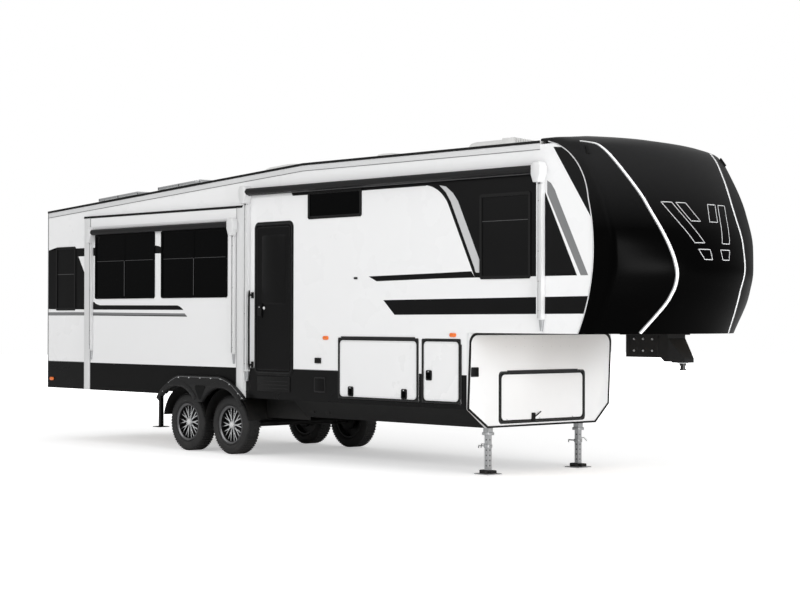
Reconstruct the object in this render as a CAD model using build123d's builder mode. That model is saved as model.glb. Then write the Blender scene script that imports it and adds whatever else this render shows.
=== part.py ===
from build123d import *
import math
import os
from collections import namedtuple

# A fifth wheel travel trailer, closed and parked on its landing legs.
# Millimetres. +X is the towing end, -Y the side with the entry door, +Z up, ground at Z = 0.
# Lengths along the trailer are stations, counted forwards from the outer face of the rear wall.

# Body
BODY_HALF = 1219.0          # half of the body's outside width
WALL = 50.0                 # side and rear walls, laminated
SKIRT_Z = 765.0             # lower edge of the side walls
COLOUR_Z = 1157.0           # where the dark skirt ends and the light wall begins
ROOF_REAR_Z = 3390.0
ROOF_FRONT_Z = 3750.0
ROOF_BREAK = 5997.0         # station where the roof turns level
ROOF_T = 40.0
LOWER_FRONT = 8977.0        # station of the lower front panel
LOWER_FRONT_T = 40.0
GOOSE_Z = 1640.0            # underside of the raised front
OVERHANG = 2593.0           # how far the cap's nose reaches ahead of the lower front panel
SEAM = 0.3                  # seam between pieces that meet
CLEAR = 6.0                 # running clearance round what moves

# Front cap. Its level sections are placed back from the nose.
CAP_NOSE = LOWER_FRONT + OVERHANG
CAP_WALL = 45.0
CAP_BACK = CAP_NOSE - 1495.0            # station where the cap meets the roof
CAP_LAP = 90.0                          # how far the cap's blank runs back before it is trimmed
CAP_EDGE_LOW = CAP_NOSE - 936.0         # rear edge of the cap on the side wall, at the underside
CAP_EDGE_MID = (CAP_NOSE - 715.0, 2560.0)
CAP_EDGE_TURN = (CAP_NOSE - 788.0, 3095.0)
CAP_EDGE_UPPER = (CAP_NOSE - 968.0, 3505.0)

# Facets of the lower front panel's outer corners
FACET_TOP_Z = 1520.0
FACET_DEPTH = 36.0

# Floors
FLOOR_TOP = 1090.0
FLOOR_T = 80.0
DECK_T = 100.0
DECK_FIT = 0.8
RISER = LOWER_FRONT - 2377.0            # station of the step up to the front deck
RISER_T = 50.0
STORE_Z = 800.0                         # top of the storage floor
STORE_T = 30.0
STORE_END = LOWER_FRONT - 727.0         # the front compartment beyond it is open down to the belly pan
BELLY_Z = 545.0
BELLY_HALF = BODY_HALF - 289.0
BELLY_START = LOWER_FRONT - 3227.0
BELLY_T = 15.0

# Chassis
RAIL_Y = 705.0
RAIL_W = 60.0
RAIL_LOW = SKIRT_Z
RAIL_HIGH = 980.0
RAIL_WEB = 8.0
RAIL_FLANGE = 12.0
RAIL_START = WALL + SEAM
RAIL_END_GAP = 10.0
CROSS_T = 50.0
CROSS_FIT = 0.5
CROSS_STATIONS = (200.0, 1200.0, 2100.0, 2700.0, 5100.0, RISER - 200.0)
OUTRIGGER_STATIONS = (200.0, 1600.0, 3000.0, 4400.0, 5600.0, RISER - 200.0)
OUTRIGGER_END = 10.0
POST_STATION = LOWER_FRONT - 97.0

# Running gear
WHEEL_R = 389.0
WHEEL_MID = 3908.0          # station midway between the axles
AXLE_SPACING = 960.0
RIM_FLATS = 40              # flats that stand for the round outlines of rims
TYRE_FLATS = 48             # and of tyres
TYRE_W = 235.0
TYRE_OUT = BODY_HALF - 72.0 # outer face of the tyres
TYRE_SHOULDER = (84.0, 30.0) # how far the upper side slopes, inwards and across
TYRE_LOWER = 70.0           # how far the lower side slopes, outwards from the bead
RIM_R = 212.0
RIM_LIP = 222.0
RIM_FLANGE = 8.0
RIM_W = 190.0
RIM_WALL = 9.0
BEAD = RIM_W / 2 - RIM_FLANGE - SEAM
DISC_R = 150.0
DISC_T = 60.0
DISC_IN = 40.0              # back of the disc, inwards from the wheel's middle plane
HUB_R = 62.0
HUB_CAP_R = 44.0
HUB_CAP_OUT = 26.0
SPOKES = 10
SPOKE_T = 26.0
SPINDLE_R = 24.0
SPINDLE_FIT = 1.0
AXLE_R = 38.0
AXLE_END = 40.0             # where the beam ends, inwards from the tyres
SPRING_HALF = 400.0
SPRING_W = 60.0
SPRING_T = 26.0
SPRING_RISE = 60.0
SPRING_SEAT = 20.0
SEAT_SINK = 8.0
SEAT_LENGTH = 120.0
HANGER_W = 90.0
HANGER_PROUD = 8.0
HANGER_LAP = 40.0

# Slide-out rooms, one on each side, alike
SLIDE_REAR = 1070.0
SLIDE_FRONT = 4838.0
SLIDE_TOP = 3262.0
SLIDE_LIP = 48.0            # how far the outer panel stands out from the wall
SLIDE_LAP = 40.0            # how far it laps over the wall round its opening
SLIDE_TRIM = 140.0          # light end strips that run down beside the skirt
SLIDE_DEPTH = 880.0
SLIDE_WALL = 40.0
SLIDE_FLOOR_Z = 1120.0
SKIRT_T = 20.0
FENDER_OUT = 45.0
ARCH_R = 491.0

Opening = namedtuple("Opening", "rear front low high corner")
ENTRY = Opening(SLIDE_FRONT + 196.0, SLIDE_FRONT + 963.0, 1086.0, 3027.0, 70.0)
BAGGAGE_REAR = Opening(LOWER_FRONT - 2296.0, LOWER_FRONT - 838.0, 813.0, 1570.0, 22.0)
BAGGAGE_FRONT = Opening(LOWER_FRONT - 792.0, LOWER_FRONT - 131.0, 813.0, 1570.0, 22.0)
HATCH = Opening(482.0 - BODY_HALF, BODY_HALF - 482.0, 588.0, 1189.0, 45.0)
REAR_SIDE = Opening(248.0, 746.0, 1930.0, 2830.0, 20.0)
HALL = Opening(ENTRY.front + 319.0, ENTRY.front + 1301.0, 3059.0, 3380.0, 15.0)
BED = Opening(CAP_BACK - 910.0, CAP_BACK - 153.0, 2263.0, 3188.0, 20.0)
REAR_PANE = Opening(659.0 - BODY_HALF, BODY_HALF - 659.0, 2050.0, 2750.0, 30.0)
GALLEY = Opening(SLIDE_FRONT + 662.0, SLIDE_FRONT + 1462.0, 2100.0, 2800.0, 20.0)
SLIDE_PANES = (Opening(SLIDE_REAR + 303.0, SLIDE_REAR + 1757.0, 2092.0, 2985.0, 20.0),
               Opening(SLIDE_FRONT - 1824.0, SLIDE_FRONT - 352.0, 2092.0, 2985.0, 20.0))
ROUND_FROM = 40.0           # corners from this size up are round, smaller ones are cut
FRAME_LIP = 10.0            # window frame proud of the wall
FRAME_LAP = 18.0
MULLION_W = 26.0
MULLION_T = 4.0
GLASS_T = 6.0

# Hinges: a pin along the edge of each leaf, outside the wall, with a strap to the leaf
HINGE_R = 5.0
HINGE_OFF = 8.0             # pin centre beyond the edge of the opening
HINGE_OUT = HINGE_R + SEAM  # pin centre out from the face it turns on
STRAP_T = 6.0
STRAP_LAP = 4.0

# Entry door
DOOR_T = 40.0
DOOR_RIM = 35.0             # width of the frame round it
DOOR_PROUD = 8.0
STRAP_LENGTH = 120.0
STRAP_W = 40.0
STRAP_INSET = 250.0         # the end straps, from the ends of the opening
DOOR_PIN_INSET = 190.0
LATCH_Z = 1900.0
LATCH = (90.0, 180.0, 14.0)  # width, height, depth
LATCH_IN = 120.0            # latch from the rear edge of the opening

# Storage doors and front hatch
LEAF_T = 38.0
LEAF_EDGE = 22.0            # width of the raised edge
LEAF_EDGE_T = 6.0

# Grab handle, beside the door
GRAB_BEHIND = 49.0          # behind the door's opening
GRAB = (30.0, 950.0, 25.0)  # width, height, depth
GRAB_Z = 1650.0
GRAB_OUT = 60.0
GRAB_FEET = 800.0           # between its two feet
GRAB_FOOT = (26.0, 60.0)

# Awnings
AWNING_Z = 3440.0
AWNING_R = 45.0
AWNING_OUT = 75.0           # roller centre out from the wall
ARM_W = 80.0
ARM_D = 60.0
HEAD_W = 96.0
HEAD_EXTRA = 50.0           # how much taller than the roller a head is
AWNING_ARMS = ((SLIDE_FRONT + 47.0, 1110.0), (CAP_BACK + 37.0, 1690.0))  # station, lower end
TOPPER_Z = 3032.0
TOPPER_ARMS = (SLIDE_REAR + 200.0, SLIDE_FRONT - 186.0)
TOPPER_ARM_LOW = 1330.0
TOPPER_ARM = (64.0, 45.0)   # width, depth

# Front end and stands
PIN_STATION = CAP_NOSE - 493.0
PIN_R = 25.4
PIN_HEAD_R = 35.7
PIN_SHOULDER_R = 36.5
PIN_SHOULDER = 33.0         # lengths of the shoulder, neck and head
PIN_NECK = 35.0
PIN_HEAD = 16.0
PLATE_T = 12.0
PIN_PLATE_Z = 1323.0        # underside of the coupling plate
BOX_BACK = PIN_STATION - 687.0
BOX_FRONT = PIN_STATION - 187.0
ARM_TIP = PIN_STATION + 90.0
BOX_HALF = 150.0
ARM_TIP_HALF = 80.0
BOX_LOW = 1378.0
ARM_TIP_H = 35.0
LEG_STATION = LOWER_FRONT - 137.0
LEG_W = 80.0
LEG_Y = RAIL_Y + RAIL_W / 2 + LEG_W / 2 + SEAM
LEG_TOP = 1150.0
LEG_SLEEVE_LOW = 470.0
LEG_INNER = 60.0
FOOT = 230.0
FOOT_T = 12.0
JACK_BEHIND = 825.0         # behind the rear spring's hanger
JACK_W = 50.0
JACK_FOOT_Z = 250.0
JACK_FOOT = 170.0
JACK_FOOT_T = 10.0

# Rear end
BUMPER_OUT = 150.0
BUMPER = 100.0
BUMPER_HALF = BODY_HALF - 219.0
BRACKET = (60.0, 80.0)
LADDER_Y = BODY_HALF - 519.0
LADDER_HALF = 190.0
LADDER_OUT = 90.0
LADDER_R = 14.0
LADDER_LOW = 1000.0
LADDER_HIGH = ROOF_REAR_Z + 60.0
LADDER_STEPS = 8
LADDER_STEP = 290.0
TREAD = (46.0, 22.0)
STANDOFFS = (LADDER_LOW + 60.0, LADDER_LOW + 1300.0, ROOF_REAR_Z - 90.0)
LAMP = (150.0, 240.0, 22.0)  # width, height, depth
LAMP_Y = BODY_HALF - 139.0
LAMP_Z = 1300.0
MARKER = (90.0, 36.0, 15.0)
MARKER_SPACING = 200.0
MARKER_Z = ROOF_REAR_Z - 110.0

# Roof equipment: places as (station, distance from the middle)
COOLER = (720.0, 640.0, 190.0)
COOLER_CORNER = 90.0
COOLER_STATIONS = (4300.0, LOWER_FRONT - 677.0)
VENT = (360.0, 80.0)
VENT_PLACES = ((1000.0, 500.0), (RISER + 100.0, -350.0), (CAP_BACK - 675.0, 0.0))
PANEL = (1000.0, 650.0, 35.0)
PANEL_LIFT = 60.0
PANEL_Y = 569.0 - BODY_HALF
PANEL_STATIONS = (1500.0, 3000.0)
PANEL_FOOT = (40.0, 30.0)
PANEL_FOOT_IN = (60.0, 30.0)

# The model's X is a station less this, so that the trailer's length is centred on X = 0.
X_SHIFT = (CAP_NOSE - BUMPER_OUT) / 2

RIGHT, LEFT = -1, 1
HANDS = {"right": RIGHT, "left": LEFT}
SLIDE_Y = BODY_HALF + SLIDE_LIP
WALL_IN = BODY_HALF - WALL
AXLES = {"front": WHEEL_MID + AXLE_SPACING / 2, "rear": WHEEL_MID - AXLE_SPACING / 2}
DOOR_FACE = BODY_HALF + DOOR_PROUD


def at(station):
    return station - X_SHIFT


def facing(y_high):
    """A plane across Y whose sketches read (X, Z); extruding goes towards -Y."""
    return Plane.XZ.offset(-y_high)


def outer_y(side, inner, outer):
    """The higher Y of a band between two distances from the middle."""
    return outer if side == LEFT else -inner


def panel(o, grow=0.0, mode=Mode.ADD, middle=X_SHIFT):
    """The outline of an opening, larger all round by grow, with its corners round or cut."""
    corner = max(o.corner + grow, 1.0)
    half_u, half_v = (o.front - o.rear) / 2 + grow, (o.high - o.low) / 2 + grow
    with Locations(((o.rear + o.front) / 2 - middle, (o.low + o.high) / 2)):
        if o.corner >= ROUND_FROM:
            RectangleRounded(2 * half_u, 2 * half_v, corner, mode=mode)
        else:
            cut = corner * 0.6
            Polygon((-half_u, cut - half_v), (cut - half_u, -half_v), (half_u - cut, -half_v),
                    (half_u, cut - half_v), (half_u, half_v - cut), (half_u - cut, half_v),
                    (cut - half_u, half_v), (-half_u, half_v - cut), align=None, mode=mode)


def cap_edge_line():
    """The curved rear edge of the cap on the side wall, from the roof to the underside."""
    turn = (at(CAP_EDGE_TURN[0]), CAP_EDGE_TURN[1])
    ThreePointArc((at(CAP_BACK), ROOF_FRONT_Z), (at(CAP_EDGE_UPPER[0]), CAP_EDGE_UPPER[1]), turn)
    ThreePointArc(turn, (at(CAP_EDGE_MID[0]), CAP_EDGE_MID[1]), (at(CAP_EDGE_LOW), GOOSE_Z))


def roof_line(drop):
    return [(at(0), ROOF_REAR_Z - drop), (at(ROOF_BREAK), ROOF_FRONT_Z - drop)]


parts = {}


def keep(name, part):
    part.label = name
    parts[name] = part


# Side walls: whole panels with the slide-out notch, doors and windows cut out.
def side_wall(name, side, cuts):
    reach = CAP_EDGE_MID[0] + 4 * WALL
    beyond = reach + WALL
    with BuildPart() as wall:
        with BuildSketch(facing(outer_y(side, WALL_IN, BODY_HALF))):
            with BuildLine():
                front = at(LOWER_FRONT - LOWER_FRONT_T)
                Polyline(roof_line(ROOF_T) + [(at(reach), ROOF_FRONT_Z - ROOF_T), (at(reach), GOOSE_Z),
                         (front, GOOSE_Z), (front, SKIRT_Z), (at(0), SKIRT_Z)], close=True)
            make_face()
            with BuildLine():
                cap_edge_line()
                Polyline((at(CAP_EDGE_LOW), GOOSE_Z), (at(CAP_EDGE_LOW), GOOSE_Z - WALL),
                         (at(beyond), GOOSE_Z - WALL), (at(beyond), ROOF_FRONT_Z + WALL),
                         (at(CAP_BACK), ROOF_FRONT_Z + WALL), (at(CAP_BACK), ROOF_FRONT_Z))
            make_face(mode=Mode.SUBTRACT)
            rear, front = SLIDE_REAR + SLIDE_LAP, SLIDE_FRONT - SLIDE_LAP
            with Locations((at((rear + front) / 2), (SLIDE_TOP - SLIDE_LAP) / 2)):
                Rectangle(front - rear, SLIDE_TOP - SLIDE_LAP, mode=Mode.SUBTRACT)
            for cut in cuts:
                panel(cut, mode=Mode.SUBTRACT)
        extrude(amount=WALL)
    keep(name, wall.part)


side_wall("wall_right", RIGHT, (REAR_SIDE, HALL, BED, ENTRY, BAGGAGE_REAR, BAGGAGE_FRONT))
side_wall("wall_left", LEFT, (REAR_SIDE, GALLEY, BED, BAGGAGE_REAR, BAGGAGE_FRONT))

# Rear wall, between the side walls, with its window.
with BuildPart() as rear_wall:
    with BuildSketch(Plane.YZ.offset(at(0))):
        with Locations((0, (SKIRT_Z + ROOF_REAR_Z - ROOF_T) / 2)):
            Rectangle(2 * (WALL_IN - SEAM), ROOF_REAR_Z - ROOF_T - SKIRT_Z)
        panel(REAR_PANE, mode=Mode.SUBTRACT, middle=0.0)
    extrude(amount=WALL)
keep("wall_rear", rear_wall.part)

# Roof: one slab that slopes up from the rear and runs level to the cap.
with BuildPart() as roof:
    with BuildSketch(facing(BODY_HALF)):
        with BuildLine():
            end = at(CAP_BACK - SEAM)
            Polyline(roof_line(0.0) + [(end, ROOF_FRONT_Z), (end, ROOF_FRONT_Z - ROOF_T)]
                     + roof_line(ROOF_T)[::-1], close=True)
        make_face()
    extrude(amount=2 * BODY_HALF)
keep("roof", roof.part)

# Front cap: a moulded shell lofted through level sections of lines and arcs. Corner and nose are
# set back from the foremost point. Rear and inset are how far a section stands in from the body's
# side, where it meets the roof and at its corner.
CapSection = namedtuple("CapSection", "z corner nose rear inset bend")
CAP_SECTIONS = (
    CapSection(GOOSE_Z, 790.0, 304.0, 0.0, 0.0, 120.0),
    CapSection(2080.0, 570.0, 73.0, 0.0, 0.0, 120.0),
    CapSection(2330.0, 525.0, 0.0, 0.0, 0.0, 140.0),
    CapSection(2600.0, 515.0, 60.0, 0.0, 0.0, 120.0),
    CapSection(3000.0, 605.0, 265.0, 0.0, 0.0, 100.0),
    CapSection(3540.0, 880.0, 585.0, 0.0, 0.0, 90.0),
    CapSection(3680.0, 990.0, 720.0, 0.0, 29.0, 90.0),
    CapSection(3770.0, 1170.0, 880.0, 15.0, 159.0, 90.0),
    CapSection(3825.0, 1370.0, 1150.0, 480.0, 519.0, 90.0),
)
CAP_CROWN_Z = CAP_SECTIONS[-1].z
VOID_SECTIONS = (0, 2, 4, 5, 7)         # the inside needs fewer sections
VOID_TOP_FROM = ROOF_FRONT_Z - 100.0    # above this the inside steps down by the shell's thickness


def cap_outline(section, inward=0.0, back=0.0):
    """One level section: straight sides, rounded corners and a bowed nose that joins them smoothly."""
    corner = CAP_NOSE - section.corner - 0.3 * inward
    nose = CAP_NOSE - section.nose - inward
    half = BODY_HALF - section.inset - inward
    bow, bend = nose - corner, section.bend - inward / 2
    width = half - bend
    nose_r = (bow ** 2 + width ** 2 - bend ** 2) / (2 * (bow - bend))
    turn = math.asin(width / (nose_r - bend))
    across = (turn + math.pi / 2) / 2
    join = (at(corner + bend * math.cos(turn)), width + bend * math.sin(turn))
    mid = (at(corner + bend * math.cos(across)), width + bend * math.sin(across))
    rear, rear_half = at(CAP_BACK - back), BODY_HALF - section.rear - inward
    flank = (rear + at(corner)) / 2
    Polyline((rear, -rear_half), (flank, -rear_half), (at(corner), -half))
    ThreePointArc((at(corner), -half), (mid[0], -mid[1]), (join[0], -join[1]))
    ThreePointArc((join[0], -join[1]), (at(nose), 0), join)
    ThreePointArc(join, mid, (at(corner), half))
    Polyline((at(corner), half), (flank, rear_half), (rear, rear_half), (rear, -rear_half))


with BuildPart() as cap_void:
    for i in VOID_SECTIONS:
        section = CAP_SECTIONS[i]
        drop = CAP_WALL if section.z > VOID_TOP_FROM else 0.0
        with BuildSketch(Plane.XY.offset(section.z - drop)):
            with BuildLine():
                cap_outline(section, inward=CAP_WALL, back=2 * CAP_LAP)
            make_face()
    loft(ruled=True)

with BuildPart() as cap:
    for section in CAP_SECTIONS:
        with BuildSketch(Plane.XY.offset(section.z)):
            with BuildLine():
                cap_outline(section, back=CAP_LAP)
            make_face()
    loft(ruled=True)
    add(cap_void.part, mode=Mode.SUBTRACT)
    with BuildSketch(facing(BODY_HALF + WALL)):
        with BuildLine():
            cap_edge_line()
            behind = at(CAP_BACK - 4 * CAP_LAP)
            low, top = GOOSE_Z - WALL, CAP_CROWN_Z + WALL
            Polyline((at(CAP_EDGE_LOW), GOOSE_Z), (at(CAP_EDGE_LOW), low), (behind, low), (behind, top),
                     (at(CAP_BACK), top), (at(CAP_BACK), ROOF_FRONT_Z))
        make_face()
        offset(amount=SEAM)
    extrude(amount=2 * (BODY_HALF + WALL), mode=Mode.SUBTRACT)
keep("front_cap", cap.part)

# Lower front panel: chamfered below, its corners planed back in a facet that widens downwards.
with BuildPart() as lower_front:
    with BuildSketch(Plane.YZ.offset(at(LOWER_FRONT - LOWER_FRONT_T))):
        with BuildLine():
            top = GOOSE_Z - SEAM
            Polyline((-BODY_HALF, top), (-BODY_HALF, SKIRT_Z), (-BELLY_HALF, BELLY_Z), (BELLY_HALF, BELLY_Z),
                     (BODY_HALF, SKIRT_Z), (BODY_HALF, top), close=True)
        make_face()
        panel(HATCH, mode=Mode.SUBTRACT, middle=0.0)
    extrude(amount=LOWER_FRONT_T)
    for side in (RIGHT, LEFT):
        apex = Vector(at(LOWER_FRONT), side * BODY_HALF, FACET_TOP_Z)
        inner = Vector(at(LOWER_FRONT), side * BELLY_HALF, BELLY_Z)
        outer = Vector(at(LOWER_FRONT - FACET_DEPTH), side * BODY_HALF, SKIRT_Z)
        outwards = (inner - apex).cross(outer - apex) * side
        split(bisect_by=Plane(origin=apex, x_dir=inner - apex, z_dir=outwards), keep=Keep.BOTTOM)
keep("lower_front", lower_front.part)

# Floors.
with BuildPart() as floor_main:
    for start, end, top, thick in ((WALL + SEAM, RISER, FLOOR_TOP, FLOOR_T),
                                   (RISER + SEAM, STORE_END, STORE_Z, STORE_T)):
        with BuildSketch(Plane.XY.offset(top - thick)):
            with Locations((at((start + end) / 2), 0)):
                Rectangle(end - start, 2 * (WALL_IN - SEAM))
        extrude(amount=thick)
keep("floor_main", floor_main.part)

# Front deck, carried in the cap's nose, with the riser below its rear edge.
with BuildPart() as deck:
    with BuildSketch(Plane.XY.offset(GOOSE_Z)):
        with BuildLine():
            first = CAP_SECTIONS[0]
            low = CapSection(GOOSE_Z, first.corner + CAP_WALL, first.nose + CAP_WALL + DECK_FIT,
                             WALL + DECK_FIT, WALL + DECK_FIT, first.bend - CAP_WALL)
            cap_outline(low, back=CAP_BACK - RISER)
        make_face()
    extrude(amount=DECK_T)
    with BuildSketch(Plane.YZ.offset(at(RISER))):
        with Locations((0, (GOOSE_Z + STORE_Z) / 2)):
            Rectangle(2 * (WALL_IN - SEAM), GOOSE_Z - STORE_Z)
    extrude(amount=RISER_T)
keep("deck_upper", deck.part)

# Belly pan under the storage: a trough with sloping sides, closed at its rear end.
with BuildPart() as belly:
    start, end = BELLY_START, LOWER_FRONT - LOWER_FRONT_T - SEAM
    side_top = WALL_IN - SEAM
    with BuildSketch(Plane.YZ.offset(at(start))):
        with BuildLine():
            rim_z = SKIRT_Z - SEAM
            Polyline((-side_top, rim_z), (-BELLY_HALF, BELLY_Z), (BELLY_HALF, BELLY_Z), (side_top, rim_z),
                     close=True)
        make_face()
    extrude(amount=end - start)
    with BuildSketch(Plane.YZ.offset(at(start + BELLY_T))):
        with BuildLine():
            inner_top, inner_z = side_top - 2 * BELLY_T, BELLY_Z + BELLY_T
            Polyline((-inner_top, SKIRT_Z), (-BELLY_HALF, inner_z), (BELLY_HALF, inner_z),
                     (inner_top, SKIRT_Z), close=True)
        make_face()
    extrude(amount=end, mode=Mode.SUBTRACT)
    with BuildSketch(Plane.XY.offset(BELLY_Z - BELLY_T)):
        with Locations((at(LEG_STATION), -LEG_Y), (at(LEG_STATION), LEG_Y)):
            Rectangle(LEG_W + 2 * SEAM, LEG_W + 2 * SEAM)
    extrude(amount=3 * BELLY_T, mode=Mode.SUBTRACT)
keep("belly_pan", belly.part)

# Chassis: two I-beams under the floor.
with BuildPart() as rails:
    with BuildSketch(Plane.YZ.offset(at(RAIL_START))):
        with Locations((-RAIL_Y, (RAIL_LOW + RAIL_HIGH) / 2), (RAIL_Y, (RAIL_LOW + RAIL_HIGH) / 2)):
            Rectangle(RAIL_WEB, RAIL_HIGH - RAIL_LOW)
        for z in (RAIL_LOW + RAIL_FLANGE / 2, RAIL_HIGH - RAIL_FLANGE / 2):
            with Locations((-RAIL_Y, z), (RAIL_Y, z)):
                Rectangle(RAIL_W, RAIL_FLANGE)
    extrude(amount=RISER - RAIL_START - RAIL_END_GAP)
keep("chassis_rails", rails.part)

# Lower beams in the belly pan, below the storage, stood against the I-beams.
BEAM_LOW = BELLY_Z + BELLY_T + SEAM
with BuildPart() as beams:
    start = BELLY_START + BELLY_T + SEAM
    with BuildSketch(Plane.YZ.offset(at(start))):
        with Locations((-RAIL_Y, (BEAM_LOW + RAIL_LOW) / 2), (RAIL_Y, (BEAM_LOW + RAIL_LOW) / 2)):
            Rectangle(RAIL_W, RAIL_LOW - BEAM_LOW)
    extrude(amount=LOWER_FRONT - LOWER_FRONT_T - SEAM - start)
keep("belly_beams", beams.part)

# Uprights that carry the raised front.
with BuildPart() as posts:
    with BuildSketch(Plane.XY.offset(RAIL_LOW)):
        with Locations((at(POST_STATION), -RAIL_Y), (at(POST_STATION), RAIL_Y)):
            Rectangle(RAIL_W, RAIL_W)
    extrude(amount=GOOSE_Z - SEAM - RAIL_LOW)
keep("front_uprights", posts.part)

# Cross members between the webs, and outriggers over the beams that carry the floor.
CROSS_HALF = RAIL_Y - RAIL_WEB / 2 - CROSS_FIT
with BuildPart() as cross_members:
    low, high = RAIL_LOW + RAIL_FLANGE + CROSS_FIT, RAIL_HIGH - RAIL_FLANGE - CROSS_FIT
    for station in CROSS_STATIONS:
        with BuildSketch(Plane.YZ.offset(at(station))):
            with Locations((0, (low + high) / 2)):
                Rectangle(2 * CROSS_HALF, high - low)
        extrude(amount=CROSS_T)
keep("cross_members", cross_members.part)

with BuildPart() as outriggers:
    with BuildSketch(Plane.XY.offset(RAIL_HIGH)):
        for station in OUTRIGGER_STATIONS:
            with Locations((at(station), 0)):
                Rectangle(CROSS_T, 2 * (WALL_IN - OUTRIGGER_END))
    extrude(amount=FLOOR_TOP - FLOOR_T - RAIL_HIGH)
keep("floor_outriggers", outriggers.part)


# Wheels: a tyre on an alloy rim with forked spokes. Places across the wheel run outwards from its
# middle plane.
BEAD_R = RIM_LIP + 3.0
FORK_R = 128.0              # radius where a spoke forks
FORK_HALF = 32.0            # half of the fork's width at the rim
SPOKE_HALF = 11.0
TINE = 15.0


def spoke_outline():
    """A forked spoke from the hub's edge to the rim, pointing along +X."""
    start, end = HUB_R - SPOKE_HALF, RIM_R - RIM_WALL + 2.0
    Polygon((start, -SPOKE_HALF), (FORK_R, -SPOKE_HALF), (end, -FORK_HALF), (end, TINE - FORK_HALF),
            (FORK_R + TINE, 0), (end, FORK_HALF - TINE), (end, FORK_HALF), (FORK_R, SPOKE_HALF),
            (start, SPOKE_HALF), align=None)


def ring_of_flats(radius, mode=Mode.ADD):
    RegularPolygon(radius, RIM_FLATS, mode=mode)


def tyre_band(outer, inner):
    """A flat-sided band whose flats lie at these radii, one of them on the ground."""
    turn = 180.0 / TYRE_FLATS
    RegularPolygon(outer, TYRE_FLATS, major_radius=False, rotation=turn)
    RegularPolygon(inner, TYRE_FLATS, major_radius=False, rotation=turn, mode=Mode.SUBTRACT)


def wheel(axle, hand):
    side = HANDS[hand]
    middle = (at(AXLES[axle]), side * (TYRE_OUT - TYRE_W / 2), WHEEL_R)
    across = Plane(origin=middle, x_dir=(1, 0, 0), z_dir=(0, side, 0))
    with BuildPart() as tyre:
        with BuildSketch(across.offset(-TYRE_W / 2)):
            tyre_band(WHEEL_R, BEAD_R)
        extrude(amount=TYRE_W)
        for end in (0, -1):
            face = tyre.faces().sort_by(Axis.Y)[end]
            chamfer(face.outer_wire().edges(), *TYRE_SHOULDER, reference=face)
        for end in (0, -1):
            face = tyre.faces().sort_by(Axis.Y)[end]
            chamfer(face.inner_wires()[0].edges(), TYRE_LOWER, TYRE_W / 2 - BEAD, reference=face)
        with BuildSketch(across.offset(-BEAD)):
            tyre_band(BEAD_R, RIM_R + SEAM)
        extrude(amount=2 * BEAD)
    keep(f"tyre_{axle}_{hand}", tyre.part)
    with BuildPart() as rim:
        with BuildSketch(across.offset(-RIM_W / 2)):
            ring_of_flats(RIM_R)
            ring_of_flats(RIM_R - RIM_WALL, mode=Mode.SUBTRACT)
        extrude(amount=RIM_W)
        for edge in (-RIM_W / 2, RIM_W / 2 - RIM_FLANGE):
            with BuildSketch(across.offset(edge)):
                ring_of_flats(RIM_LIP)
                ring_of_flats(RIM_R - RIM_WALL, mode=Mode.SUBTRACT)
            extrude(amount=RIM_FLANGE)
        with BuildSketch(across.offset(-DISC_IN)):
            ring_of_flats(DISC_R)
        extrude(amount=DISC_T)
        with BuildSketch(across.offset(DISC_T - DISC_IN)):
            Circle(HUB_R)
            with PolarLocations(0, SPOKES):
                spoke_outline()
        extrude(amount=SPOKE_T)
        with BuildSketch(across.offset(DISC_T - DISC_IN + SPOKE_T)):
            Circle(HUB_CAP_R)
        extrude(amount=HUB_CAP_OUT, taper=12)
        with BuildSketch(across.offset(-DISC_IN)):
            Circle(SPINDLE_R + SPINDLE_FIT)
        extrude(amount=DISC_T + SPOKE_T / 2, mode=Mode.SUBTRACT)
    keep(f"rim_{axle}_{hand}", rim.part)


for axle in AXLES:
    for hand in HANDS:
        wheel(axle, hand)

for axle, station in AXLES.items():
    beam_half = TYRE_OUT - TYRE_W - AXLE_END
    with BuildPart() as beam:
        with BuildSketch(Plane(origin=(at(station), beam_half, WHEEL_R), z_dir=(0, -1, 0))):
            Circle(AXLE_R)
        extrude(amount=2 * beam_half)
        for side in (RIGHT, LEFT):
            end = (at(station), side * (beam_half - 1.0), WHEEL_R)
            with BuildSketch(Plane(origin=end, z_dir=(0, side, 0))):
                Circle(SPINDLE_R)
            extrude(amount=AXLE_END + TYRE_W / 2 + SPOKE_T / 2)
            with BuildSketch(Plane.XY.offset(WHEEL_R + AXLE_R - SEAT_SINK)):
                with Locations((at(station), side * RAIL_Y)):
                    Rectangle(SEAT_LENGTH, SPRING_W)
            extrude(amount=SPRING_SEAT + SEAT_SINK)
    keep("axle_" + axle, beam.part)

# Springs over the axles, with the hangers and the equalizer between them.
HANGERS = (AXLES["rear"] - SPRING_HALF, WHEEL_MID, AXLES["front"] + SPRING_HALF)
with BuildPart() as springs:
    seat = WHEEL_R + AXLE_R + SPRING_SEAT
    for side in (RIGHT, LEFT):
        y_high = side * RAIL_Y + SPRING_W / 2
        for station in AXLES.values():
            with BuildSketch(facing(y_high)):
                with BuildLine():
                    rear, front = at(station - SPRING_HALF), at(station + SPRING_HALF)
                    eye = seat + SPRING_RISE
                    low = ThreePointArc((rear, eye), (at(station), seat + SEAM), (front, eye))
                    high = ThreePointArc((rear, eye + SPRING_T), (at(station), seat + 2 * SPRING_T),
                                         (front, eye + SPRING_T))
                    Line(low @ 0, high @ 0)
                    Line(low @ 1, high @ 1)
                make_face()
            extrude(amount=SPRING_W)
        with BuildSketch(facing(y_high + HANGER_PROUD)):
            for station in HANGERS:
                equalizer = AXLE_SPACING - 2 * SPRING_HALF + 2 * HANGER_LAP
                with Locations((at(station), (RAIL_LOW + seat + HANGER_LAP) / 2)):
                    Rectangle(equalizer if station == WHEEL_MID else HANGER_W, RAIL_LOW - seat - HANGER_LAP)
        extrude(amount=SPRING_W + 2 * HANGER_PROUD)
keep("suspension", springs.part)

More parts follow.
